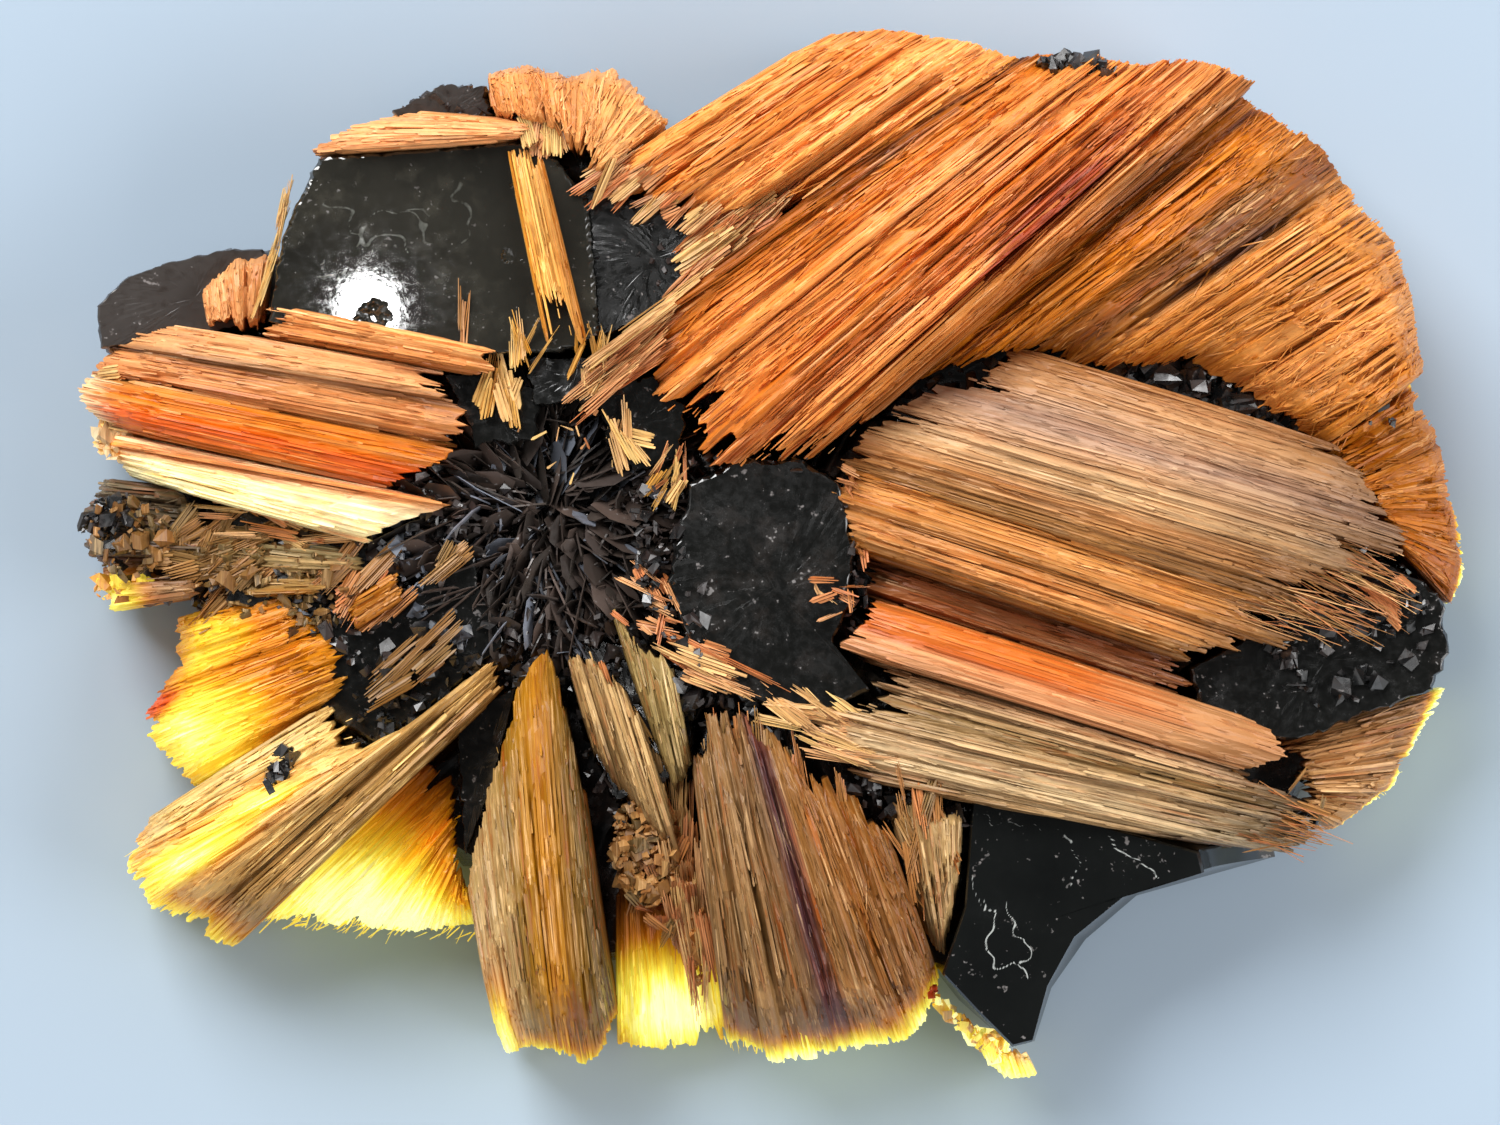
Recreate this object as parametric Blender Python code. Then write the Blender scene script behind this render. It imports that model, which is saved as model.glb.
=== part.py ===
"""Rutile and hematite specimen, lying on its broken back.

A black hematite mass carries flat-faced tablets and a rosette, and sheaves of
golden rutile crystals grow out of it in six directions, 60 degrees apart.
+X runs to the right and +Y to the top of the specimen's best face, +Z up.
Every length below is in millimetres and is turned into metres in one place.
"""

import math

import bmesh
import bpy
import numpy as np
from mathutils import Matrix, Vector

MM = 0.001

# Driving dimensions: the slab that the crystals stand on.
SLAB_TOP = 3.9
SLAB_WAIST = 1.3
SLAB_FOOT_INSET = 1.3
SLAB_SHOULDER_INSET = 0.7

# Fit between a sheaf and its bed in the hematite.
CLEARANCE = 0.34
FLOOR_CLEARANCE = 0.45
BED_STATIONS = 3
HEADROOM = 3.0

# Crystal relief.
TABLET_CHAMFER = 0.3
ROOT_STATION = 0.12
SHOULDER_STATION = 0.85
RIDGE_HEIGHTS = (-0.15, 0.3)
VALLEY_DEPTHS = (0.3, 0.6)
VALLEY_RECESS = 0.45
RAGGED_END = 0.5
MOST_RECESS = 0.12
LEAST_THICKNESS = 0.6

# The rosette in the middle of the star.
ROSETTE_CENTRE = (-9.0, 1.9)
ROSETTE_RADIUS = 5.9
ROSETTE_TOP = 6.3
ROSETTE_CORE_SIDES = 12
ROSETTE_CORE_FOOT = 3.0
ROSETTE_CORE_BEVEL = (2.4, 0.9)
ROSETTE_PLATES = 22
ROSETTE_SEED = 7
PLATE_RADIUS = (1.0, 1.7)
PLATE_THICKNESS = (0.5, 0.9)
PLATE_LEAN = (35, 75)
PLATE_SINK = 0.35
PLATE_SCATTER = 0.3
GOLDEN_TURN = 0.382

COLOURS = {
    "hematite": (0.018, 0.018, 0.022),
    "rutile_orange": (0.62, 0.21, 0.055),
    "rutile_amber": (0.58, 0.27, 0.075),
    "rutile_straw": (0.62, 0.44, 0.19),
    "rutile_olive": (0.42, 0.27, 0.08),
    "rutile_golden": (0.80, 0.52, 0.06),
}
ROUGHNESS = {"hematite": 0.22}
RUTILE_ROUGHNESS = 0.42
HEMATITE_METALLIC = 0.55

SLAB_OUTLINE = [
    (-26.0, 8.6), (-25.0, 10.4), (-20.0, 12.0), (-18.0, 15.6), (-12.6, 17.8),
    (-7.0, 17.6), (-3.4, 16.6), (2.4, 18.4), (8.0, 18.2), (14.0, 17.8),
    (18.0, 16.6), (21.6, 13.4), (23.6, 9.6), (24.6, 6.0), (25.4, 2.4),
    (26.2, -1.0), (26.0, -4.8), (23.4, -7.6), (20.8, -10.6), (18.4, -12.0),
    (14.0, -12.9), (11.8, -15.0), (10.4, -17.6), (9.6, -19.2), (7.4, -17.2),
    (4.4, -16.4), (0.2, -16.8), (-4.6, -16.4), (-8.6, -16.8), (-10.8, -13.8),
    (-14.6, -11.4), (-20.6, -11.2), (-22.0, -7.4), (-21.8, -3.6), (-24.6, -1.2),
    (-25.8, 1.2), (-25.0, 3.4), (-25.8, 5.6),
]

# Flat-faced hematite tablets: outline of the face, height of the face, height of the foot, and the
# face's tilt in degrees about X and Y.
TABLETS = {
    "upper_left_face": {
        "outline": [(-18.2, 16.0), (-9.4, 16.7), (-7.5, 14.5), (-7.0, 8.9), (-8.6, 8.3), (-12.2, 8.2),
                    (-16.0, 8.7), (-20.2, 9.5), (-19.6, 12.9)],
        "top": 9.2, "foot": 3.0, "tilt": (1.0, 1.5),
    },
    "upper_left_step": {
        "outline": [(-8.0, 14.8), (-3.4, 14.1), (0.5, 13.2), (-2.6, 10.9), (-6.9, 8.9), (-8.2, 8.6)],
        "top": 8.6, "foot": 3.0, "tilt": (-2.0, 2.0),
    },
    "left_end": {
        "outline": [(-27.1, 8.5), (-27.2, 10.2), (-26.1, 11.3), (-24.6, 11.9), (-22.0, 12.5), (-20.6, 12.5),
                    (-19.0, 10.3), (-22.6, 9.1), (-25.0, 8.8)],
        "top": 7.0, "foot": 1.6, "tilt": (3.0, -5.0),
    },
    "star_plate": {
        "outline": [(-7.0, 7.1), (-4.9, 7.3), (-3.6, 6.1), (-3.8, 4.2), (-5.4, 3.5), (-6.8, 4.7)],
        "top": 8.2, "foot": 3.0, "tilt": (4.0, -3.0),
    },
    "star_block": {
        "outline": [(-10.0, 8.1), (-6.4, 8.1), (-6.0, 6.6), (-9.6, 6.2)],
        "top": 8.3, "foot": 3.0, "tilt": (-5.0, 2.0),
    },
    "star_wedge": {
        "outline": [(-13.2, 7.4), (-11.0, 7.8), (-9.4, 6.6), (-9.6, 4.8), (-12.0, 4.6)],
        "top": 7.7, "foot": 3.0, "tilt": (3.0, 4.0),
    },
    "right_plate": {
        "outline": [(-3.4, 3.0), (-1.4, 4.0), (1.0, 4.0), (2.6, 3.0), (3.1, 0.7), (3.0, -1.7), (2.3, -3.3),
                    (3.8, -5.2), (1.8, -6.2), (-1.3, -5.6), (-3.3, -3.7), (-4.3, -0.9)],
        "top": 8.1, "foot": 3.0, "tilt": (1.5, 2.0),
    },
    "top_left_lump": {
        "outline": [(-15.2, 17.9), (-13.4, 18.9), (-11.7, 18.9), (-11.4, 17.9), (-12.4, 16.8), (-14.6, 17.0)],
        "top": 8.6, "foot": 2.2, "tilt": (6.0, -4.0),
    },
    "right_dark_end": {
        "outline": [(16.6, -4.4), (21.0, -2.1), (24.4, 0.0), (26.7, -1.3), (27.1, -3.7), (26.4, -5.2),
                    (21.0, -7.2), (17.6, -7.0)],
        "top": 6.9, "foot": 1.8, "tilt": (-3.0, 3.0),
    },
    "strip_between_sheaves": {
        "outline": [(4.2, 5.8), (5.4, 7.2), (9.4, 9.0), (17.4, 8.8), (22.4, 5.0), (20.0, 3.2), (12.0, 4.6)],
        "top": 6.8, "foot": 3.0, "tilt": (3.0, 1.0),
    },
    "lower_left_dark": {
        "outline": [(-19.0, -5.3), (-18.4, -2.2), (-15.0, -1.4), (-12.2, 0.1), (-10.8, -3.3), (-13.4, -5.5),
                    (-16.1, -7.4), (-17.8, -6.4)],
        "top": 6.3, "foot": 3.0, "tilt": (4.0, 3.0),
    },
    "lower_wedge": {
        "outline": [(-12.8, -6.6), (-10.4, -5.0), (-11.4, -9.0), (-12.5, -11.9)],
        "top": 6.1, "foot": 3.0, "tilt": (2.0, -3.0),
    },
    "lower_lump": {
        "outline": [(-8.6, -2.6), (-3.2, -4.6), (-3.4, -8.4), (-6.4, -9.8), (-7.8, -6.4)],
        "top": 6.2, "foot": 3.0, "tilt": (-3.0, 2.0),
    },
    "left_lump": {
        "outline": [(-22.6, 2.2), (-16.4, 0.9), (-14.6, 0.2), (-17.0, -2.4), (-22.0, -1.8)],
        "top": 6.2, "foot": 2.0, "tilt": (-4.0, -5.0),
    },
}

# The lower right tablet has a shell-shaped broken side, so its foot has an outline of its own.
BROKEN_TABLET_FACE = [
    (7.9, -9.7), (9.4, -9.5), (13.0, -10.6), (17.0, -11.7), (17.2, -12.5), (14.2, -13.3), (12.0, -15.1),
    (10.9, -17.1), (10.3, -19.3), (9.5, -19.5), (8.1, -18.1), (6.7, -16.6), (7.6, -13.9),
]
BROKEN_TABLET_FOOT = [
    (7.9, -9.7), (9.4, -9.5), (13.0, -10.6), (20.4, -11.4), (20.6, -12.2), (14.9, -13.8), (12.8, -15.6),
    (11.4, -17.6), (10.7, -19.8), (9.5, -19.8), (7.6, -18.1), (6.4, -16.6), (7.4, -13.9),
]
BROKEN_TABLET_TOP = 7.8
BROKEN_TABLET_WAIST = 3.4
BROKEN_TABLET_BASE = 0.9
BROKEN_WALL_BOW = 0.35

# Each sheaf is ruled between key lines that run from its root to its tip. "top" is its height at the
# root, at the root shoulder, half way, at the tip shoulder and at the tip. "bed" is the height of its
# underside at root and tip.
SHEAVES = {
    "rutile_sheaf_upper_right_front": {
        "lines": [((-6.5, 8.4), (10.4, 19.95)), ((-5.0, 6.9), (12.2, 20.1)), ((-3.4, 5.6), (14.2, 19.8)),
                  ((-3.1, 3.6), (16.0, 19.9)), ((-0.6, 3.8), (17.6, 19.7)), ((1.9, 4.3), (18.8, 19.1))],
        "top": (7.8, 10.2, 12.6, 12.1, 8.8), "bed": (4.4, 1.5), "rods": 12, "crown": 0.9,
        "colour": "rutile_orange",
    },
    "rutile_sheaf_upper_right_back": {
        "lines": [((5.9, 7.2), (19.5, 18.55)), ((10.6, 8.6), (21.7, 16.6)), ((13.6, 7.8), (23.2, 14.4)),
                  ((17.0, 8.2), (24.8, 12.8)), ((19.4, 6.9), (25.4, 10.7)), ((22.0, 5.2), (25.7, 7.95))],
        "top": (7.4, 9.6, 11.4, 10.7, 7.2), "bed": (4.4, 1.3), "rods": 11, "crown": 0.8,
        "colour": "rutile_orange",
    },
    "rutile_sheaf_upper_right_top": {
        "lines": [((-6.2, 15.7), (2.4, 21.0)), ((-5.6, 14.9), (4.2, 21.2)), ((-3.4, 14.2), (6.2, 20.9)),
                  ((-1.2, 14.0), (8.0, 20.6)), ((1.0, 14.1), (9.5, 19.95))],
        "top": (8.6, 10.0, 11.2, 10.8, 8.0), "bed": (4.5, 1.7), "rods": 8, "crown": 0.7,
        "colour": "rutile_amber",
    },
    "rutile_tuft_top": {
        "lines": [((-10.9, 17.7), (-11.2, 19.5)), ((-9.2, 17.4), (-9.8, 19.8)), ((-8.2, 16.6), (-8.4, 19.4)),
                  ((-7.6, 16.0), (-6.6, 19.8)), ((-7.3, 15.4), (-4.3, 18.0))],
        "top": (9.0, 10.2, 10.2, 9.4, 6.9), "bed": (4.5, 2.0), "rods": 6, "crown": 0.5,
        "colour": "rutile_straw",
    },
    "rutile_rim_upper_left": {
        "lines": [((-9.8, 17.25), (-15.0, 17.8)), ((-9.7, 17.1), (-17.0, 17.3)),
                  ((-9.8, 16.9), (-18.7, 16.3))],
        "top": (9.4, 10.0, 10.2, 9.7, 8.2), "bed": (4.5, 3.0), "rods": 3, "crown": 0.2,
        "colour": "rutile_straw",
    },
    "rutile_collar_left": {
        "lines": [((-22.4, 9.5), (-22.7, 11.0)), ((-21.4, 9.3), (-21.7, 12.0)),
                  ((-20.8, 9.5), (-20.4, 12.3))],
        "top": (7.8, 8.6, 8.6, 8.2, 6.8), "bed": (4.5, 2.8), "rods": 4, "crown": 0.2,
        "colour": "rutile_straw",
    },
    "rutile_sheaf_left_upper": {
        "lines": [((-13.4, 7.3), (-25.0, 9.3)), ((-12.6, 6.5), (-26.2, 8.7)), ((-12.3, 5.5), (-27.2, 8.2)),
                  ((-12.9, 4.9), (-27.5, 7.75))],
        "top": (8.2, 9.4, 9.9, 9.0, 6.2), "bed": (4.5, 2.5), "rods": 7, "crown": 0.6,
        "colour": "rutile_amber",
    },
    "rutile_blade_left_orange": {
        "lines": [((-13.0, 4.4), (-27.8, 7.3)), ((-13.6, 3.9), (-28.0, 6.8)), ((-14.9, 3.3), (-27.7, 6.1)),
                  ((-15.6, 3.15), (-26.9, 5.65))],
        "top": (7.8, 8.9, 9.6, 9.2, 6.4), "bed": (4.5, 1.9), "rods": 5, "crown": 0.5,
        "colour": "rutile_orange",
    },
    "rutile_sheaf_left_lower": {
        "lines": [((-15.6, 2.75), (-27.3, 5.25)), ((-13.0, 2.2), (-27.4, 4.8)), ((-15.2, 1.5), (-26.7, 4.2)),
                  ((-16.1, 0.9), (-26.0, 3.7))],
        "top": (7.0, 8.0, 8.6, 8.0, 5.4), "bed": (4.5, 2.1), "rods": 6, "crown": 0.6,
        "colour": "rutile_straw",
    },
    "rutile_blade_plate_edge": {
        "lines": [((-10.8, 8.05), (-20.3, 9.95)), ((-11.4, 7.6), (-20.4, 9.2))],
        "top": (9.3, 9.8, 10.0, 9.8, 9.0), "bed": (7.8, 7.2), "rods": 2, "crown": 0.1,
        "colour": "rutile_amber",
    },
    "rutile_needles_on_plate": {
        "lines": [((-9.0, 8.3), (-10.6, 16.2)), ((-8.2, 8.5), (-9.9, 16.3)), ((-7.5, 8.6), (-9.3, 16.0))],
        "top": (9.6, 10.2, 10.4, 10.2, 9.7), "bed": (8.8, 8.9), "rods": 4, "crown": 0.1,
        "colour": "rutile_golden",
    },
    "rutile_sheaf_lower_left_inner": {
        "lines": [((-17.7, -5.95), (-25.5, -10.9)), ((-16.2, -7.5), (-26.3, -12.5)),
                  ((-13.3, -5.8), (-25.5, -14.0)),
                  ((-11.2, -3.9), (-23.7, -15.0)), ((-11.1, -5.0), (-22.2, -15.5))],
        "top": (7.2, 8.6, 9.0, 7.6, 4.2), "bed": (4.5, 1.0), "rods": 9, "crown": 0.6,
        "colour": "rutile_olive",
    },
    "rutile_sheaf_lower_left_outer": {
        "lines": [((-19.6, -1.5), (-24.4, -2.7)), ((-18.6, -2.3), (-24.2, -4.3)),
                  ((-17.6, -3.3), (-26.0, -6.4)),
                  ((-17.2, -4.5), (-25.0, -7.7)), ((-17.7, -5.4), (-23.8, -9.0))],
        "top": (5.8, 6.8, 6.8, 5.6, 3.0), "bed": (4.4, 0.9), "rods": 7, "crown": 0.4,
        "colour": "rutile_golden",
    },
    "rutile_sheaf_lower_left_under": {
        "lines": [((-13.4, -7.9), (-20.8, -14.8)), ((-13.0, -9.3), (-18.6, -14.8)),
                  ((-12.9, -10.9), (-15.8, -15.1)),
                  ((-12.8, -12.4), (-13.8, -15.2)), ((-12.7, -13.4), (-12.4, -14.7))],
        "top": (5.4, 6.4, 6.2, 4.8, 2.2), "bed": (4.4, 0.8), "rods": 8, "crown": 0.3,
        "colour": "rutile_golden",
    },
    "rutile_blade_lower_middle": {
        "lines": [((-12.2, -12.6), (-10.8, -19.7)), ((-11.5, -8.7), (-10.0, -19.6)),
                  ((-10.4, -5.4), (-9.0, -19.8)),
                  ((-9.2, -3.4), (-7.8, -20.4)), ((-8.6, -4.9), (-7.1, -20.1)),
                  ((-7.8, -9.3), (-6.6, -18.1))],
        "top": (7.2, 9.6, 11.0, 9.2, 4.6), "bed": (4.5, 0.9), "rods": 8, "crown": 1.0,
        "colour": "rutile_olive",
    },
    "rutile_blade_lower_short": {
        "lines": [((-8.1, -4.1), (-6.9, -8.4)), ((-7.2, -3.9), (-5.0, -10.9)), ((-5.8, -5.6), (-3.8, -12.2))],
        "top": (7.2, 8.4, 8.6, 7.6, 5.6), "bed": (4.5, 4.4), "rods": 4, "crown": 0.4,
        "colour": "rutile_straw",
    },
    "rutile_blade_lower_pointed": {
        "lines": [((-6.4, -2.2), (-4.8, -7.1)), ((-5.4, -3.3), (-3.95, -9.4)), ((-4.4, -4.1), (-3.6, -8.5))],
        "top": (7.4, 8.4, 8.6, 8.0, 6.4), "bed": (4.5, 4.4), "rods": 4, "crown": 0.4,
        "colour": "rutile_olive",
    },
    "rutile_sheaf_lower_centre": {
        "lines": [((-3.1, -7.3), (-1.6, -19.6)), ((-2.6, -6.2), (0.0, -20.3)), ((-1.3, -6.2), (2.3, -20.1)),
                  ((-0.2, -6.9), (3.9, -19.6)), ((1.1, -8.1), (5.4, -19.4)), ((3.0, -9.4), (6.1, -18.6)),
                  ((4.0, -10.3), (6.4, -17.2))],
        "top": (7.4, 9.2, 10.0, 8.6, 4.2), "bed": (4.5, 0.9), "rods": 11, "crown": 0.8,
        "colour": "rutile_olive",
    },
    "rutile_slab_lower_gap": {
        "lines": [((-6.1, -13.0), (-6.1, -19.8)), ((-5.0, -13.2), (-4.4, -20.0)),
                  ((-3.1, -13.0), (-2.2, -19.6))],
        "top": (5.6, 5.4, 4.8, 3.6, 2.0), "bed": (2.2, 0.7), "rods": 5, "crown": 0.1,
        "colour": "rutile_golden",
    },
    "rutile_tuft_lower_right": {
        "lines": [((4.8, -9.8), (6.5, -15.4)), ((6.0, -10.0), (6.8, -15.9)), ((7.3, -10.4), (7.1, -13.7))],
        "top": (7.4, 8.4, 8.6, 7.8, 6.0), "bed": (4.5, 4.3), "rods": 4, "crown": 0.3,
        "colour": "rutile_straw",
    },
    "rutile_sheaf_right_upper": {
        "lines": [((9.2, 8.3), (22.8, 4.1)), ((7.0, 7.0), (24.4, 1.8)), ((4.8, 6.0), (24.0, 0.5)),
                  ((3.7, 4.9), (22.4, -0.7)), ((3.1, 3.9), (21.1, -1.6))],
        "top": (7.6, 9.6, 10.8, 9.8, 6.9), "bed": (4.5, 3.4), "rods": 11, "crown": 0.8,
        "colour": "rutile_straw",
    },
    "rutile_sheaf_right_middle": {
        "lines": [((2.6, 3.6), (21.1, -2.15)), ((2.4, 2.4), (19.9, -3.3)), ((3.2, 0.7), (17.6, -4.1))],
        "top": (7.4, 9.2, 10.1, 9.2, 6.4), "bed": (4.5, 3.8), "rods": 7, "crown": 0.7,
        "colour": "rutile_amber",
    },
    "rutile_strip_right_recess": {
        "lines": [((3.7, 0.0), (17.4, -4.6)), ((3.8, -1.2), (16.2, -5.25))],
        "top": (6.2, 7.4, 7.6, 7.2, 6.2), "bed": (4.5, 4.2), "rods": 3, "crown": 0.2,
        "colour": "rutile_amber",
    },
    "rutile_prism_right_orange": {
        "lines": [((3.8, -1.8), (19.8, -6.9)), ((3.4, -2.6), (20.6, -7.9)), ((2.9, -3.4), (19.0, -8.3))],
        "top": (9.2, 10.0, 10.2, 9.2, 6.9), "bed": (4.5, 4.0), "rods": 2, "crown": 0.1,
        "colour": "rutile_orange",
    },
    "rutile_sheaf_right_lower": {
        "lines": [((3.9, -4.2), (19.4, -8.9)), ((4.4, -5.4), (21.3, -9.9)), ((1.6, -6.4), (21.5, -10.9)),
                  ((1.4, -7.3), (20.4, -11.8)), ((3.5, -8.7), (17.0, -11.2))],
        "top": (7.2, 8.8, 9.6, 8.6, 5.4), "bed": (4.5, 3.0), "rods": 9, "crown": 0.6,
        "colour": "rutile_straw",
    },
    "rutile_mass_right_edge": {
        "lines": [((22.4, 4.9), (26.1, 7.4)), ((23.9, 3.8), (26.8, 5.3)), ((25.1, 2.1), (27.6, 2.1)),
                  ((25.5, 0.8), (28.0, -0.3)), ((25.8, 0.1), (27.6, -1.7))],
        "top": (6.8, 7.8, 7.6, 6.8, 4.6), "bed": (3.2, 1.1), "rods": 6, "crown": 0.2,
        "colour": "rutile_amber",
    },
    "rutile_mass_lower_right": {
        "lines": [((20.9, -7.3), (27.3, -5.5)), ((21.7, -8.3), (26.2, -7.6)), ((22.2, -9.4), (24.9, -9.5)),
                  ((22.2, -10.3), (22.9, -10.8))],
        "top": (5.8, 6.6, 6.6, 5.8, 3.6), "bed": (3.0, 1.1), "rods": 5, "crown": 0.2,
        "colour": "rutile_straw",
    },
    "rutile_knob_left": {
        "lines": [((-23.8, 2.6), (-27.4, 3.0)), ((-22.8, 1.5), (-28.1, 1.9)), ((-22.6, 0.0), (-28.0, 0.1)),
                  ((-23.4, -1.2), (-27.2, -1.8))],
        "top": (5.6, 6.6, 6.4, 5.6, 3.6), "bed": (3.0, 1.0), "rods": 6, "crown": 0.4,
        "colour": "rutile_golden",
    },
    "rutile_blade_left_broken_upper": {
        "lines": [((-16.8, 0.1), (-21.8, 0.9)), ((-16.6, -0.6), (-22.0, -0.6)),
                  ((-18.2, -1.2), (-21.6, -1.4))],
        "top": (6.4, 7.2, 7.3, 6.9, 5.6), "bed": (4.4, 4.3), "rods": 4, "crown": 0.2,
        "colour": "rutile_olive",
    },
    "rutile_blade_left_broken_lower": {
        "lines": [((-14.8, -0.6), (-17.4, -2.1)), ((-14.9, -1.4), (-17.0, -2.8))],
        "top": (6.8, 7.6, 7.6, 7.2, 6.4), "bed": (5.7, 5.5), "rods": 2, "crown": 0.1,
        "colour": "rutile_amber",
    },
    "rutile_knob_lower_tip": {
        "lines": [((7.9, -18.8), (8.5, -20.1)), ((9.0, -19.7), (9.4, -21.1)), ((10.0, -20.2), (10.4, -21.0))],
        "top": (3.6, 4.2, 4.2, 3.8, 2.6), "bed": (1.2, 1.1), "rods": 2, "crown": 0.1,
        "colour": "rutile_golden",
    },
}


def clear_scene():
    for obj in list(bpy.data.objects):
        bpy.data.objects.remove(obj)


def finish_material(name):
    material = bpy.data.materials.new(name)
    material.use_nodes = True
    shader = material.node_tree.nodes["Principled BSDF"]
    shader.inputs["Base Color"].default_value = (*COLOURS[name], 1.0)
    shader.inputs["Roughness"].default_value = ROUGHNESS.get(name, RUTILE_ROUGHNESS)
    shader.inputs["Metallic"].default_value = HEMATITE_METALLIC if name == "hematite" else 0.0
    return material


def add_object(name, bm, material, collection):
    """Turns a bmesh in millimetres into an object in metres."""
    bmesh.ops.recalc_face_normals(bm, faces=bm.faces)
    bmesh.ops.scale(bm, vec=(MM, MM, MM), verts=bm.verts)
    mesh = bpy.data.meshes.new(name)
    bm.to_mesh(mesh)
    bm.free()
    mesh.materials.append(material)
    obj = bpy.data.objects.new(name, mesh)
    collection.objects.link(obj)
    return obj


def helper_collection(name):
    collection = bpy.data.collections.new(name)
    bpy.context.scene.collection.children.link(collection)
    return collection


def hide_helper(obj):
    obj.hide_render = True
    obj.display_type = "WIRE"


def shrink(outline, inset):
    """Moves an outline towards its middle by about inset."""
    centre = Vector((0, 0))
    for point in outline:
        centre += Vector(point) / len(outline)
    moved = []
    for point in outline:
        away = Vector(point) - centre
        moved.append(centre + away * max(0.0, 1 - inset / away.length))
    return moved


def stack_outlines(levels):
    """Closed body through outlines at rising heights. Each level is (outline, heights of its points)."""
    bm = bmesh.new()
    rings = [
        [bm.verts.new((point[0], point[1], z)) for point, z in zip(outline, heights)]
        for outline, heights in levels
    ]
    count = len(rings[0])
    for low, high in zip(rings, rings[1:]):
        for i in range(count):
            j = (i + 1) % count
            bm.faces.new((low[i], low[j], high[j], high[i]))
    caps = [bm.faces.new(rings[0][::-1]), bm.faces.new(rings[-1])]
    bmesh.ops.triangulate(bm, faces=caps)
    return bm


def tilted(outline, top, tilt):
    """Heights of a face that leans by tilt degrees about X and Y through the outline's middle."""
    middle_x = sum(point[0] for point in outline) / len(outline)
    middle_y = sum(point[1] for point in outline) / len(outline)
    rise_y, rise_x = (math.tan(math.radians(angle)) for angle in tilt)
    return [top + (point[1] - middle_y) * rise_y + (point[0] - middle_x) * rise_x for point in outline]


def slab():
    """The broken hematite slab: a flat foot, a wider waist and a bevelled shoulder."""
    foot = shrink(SLAB_OUTLINE, SLAB_FOOT_INSET)
    shoulder = shrink(SLAB_OUTLINE, SLAB_SHOULDER_INSET)
    count = len(SLAB_OUTLINE)
    waist_heights = [SLAB_WAIST + 0.35 * math.sin(2.3 * i) for i in range(count)]
    return stack_outlines([
        (foot, [0.0] * count),
        (SLAB_OUTLINE, waist_heights),
        (shoulder, [SLAB_TOP] * count),
    ])


def tablet(outline, top, foot, tilt):
    """A tabular crystal: straight sides, chamfered round a flat leaning face."""
    face = shrink(outline, TABLET_CHAMFER)
    edge_heights = [z - TABLET_CHAMFER for z in tilted(outline, top, tilt)]
    return stack_outlines([
        (outline, [foot] * len(outline)),
        (outline, edge_heights),
        (face, tilted(face, top, tilt)),
    ])


def broken_tablet():
    """The lower right tablet, whose right side is a hollow, shell-shaped fracture."""
    waist = []
    for face_point, foot_point in zip(BROKEN_TABLET_FACE, BROKEN_TABLET_FOOT):
        waist.append(Vector(face_point).lerp(Vector(foot_point), BROKEN_WALL_BOW))
    count = len(waist)
    face = shrink(BROKEN_TABLET_FACE, TABLET_CHAMFER)
    return stack_outlines([
        (BROKEN_TABLET_FOOT, [BROKEN_TABLET_BASE] * count),
        (waist, [BROKEN_TABLET_WAIST] * count),
        (BROKEN_TABLET_FACE, [BROKEN_TABLET_TOP - TABLET_CHAMFER] * count),
        (face, [BROKEN_TABLET_TOP] * count),
    ])


def rosette_core():
    """The low twelve-sided boss that the rosette's plates stand in."""
    sides = ROSETTE_CORE_SIDES
    outline = [
        (
            ROSETTE_CENTRE[0] + ROSETTE_RADIUS * math.cos(2 * math.pi * i / sides),
            ROSETTE_CENTRE[1] + ROSETTE_RADIUS * math.sin(2 * math.pi * i / sides),
        )
        for i in range(sides)
    ]
    inset, drop = ROSETTE_CORE_BEVEL
    face = shrink(outline, inset)
    return stack_outlines([
        (outline, [ROSETTE_CORE_FOOT] * sides),
        (outline, [ROSETTE_TOP - drop] * sides),
        (face, [ROSETTE_TOP] * sides),
    ])


def rosette_plate(rng, index):
    """A thin six-sided plate that leans out from the rosette's middle."""
    bearing = 2 * math.pi * (index + rng.uniform(-0.3, 0.3)) * GOLDEN_TURN
    reach = ROSETTE_RADIUS * (0.25 + 0.6 * (index + 1) / ROSETTE_PLATES)
    radius = rng.uniform(*PLATE_RADIUS)
    thickness = rng.uniform(*PLATE_THICKNESS)
    lean = math.radians(rng.uniform(*PLATE_LEAN))
    bm = bmesh.new()
    bmesh.ops.create_cone(
        bm, cap_ends=True, segments=6, radius1=radius, radius2=radius * 0.92, depth=thickness
    )
    turn = (
        Matrix.Translation((
            ROSETTE_CENTRE[0] + reach * math.cos(bearing),
            ROSETTE_CENTRE[1] + reach * math.sin(bearing),
            ROSETTE_TOP - PLATE_SINK + rng.uniform(-PLATE_SCATTER, PLATE_SCATTER),
        ))
        @ Matrix.Rotation(bearing, 4, "Z")
        @ Matrix.Rotation(lean, 4, "Y")
        @ Matrix.Rotation(rng.uniform(0, 1), 4, "Z")
    )
    bmesh.ops.transform(bm, matrix=turn, verts=bm.verts)
    return bm


def strands(lines, across):
    """Root and tip points of evenly spread strands, between the key lines."""
    roots = np.array([line[0] for line in lines], float)
    tips = np.array([line[1] for line in lines], float)
    middles = (roots + tips) / 2
    walked = np.concatenate([[0], np.cumsum(np.linalg.norm(np.diff(middles, axis=0), axis=1))])
    walked /= walked[-1]
    pick = [np.interp(across, walked, side[:, k]) for side in (roots, tips) for k in (0, 1)]
    return np.stack(pick[:2], axis=1), np.stack(pick[2:], axis=1)


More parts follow.
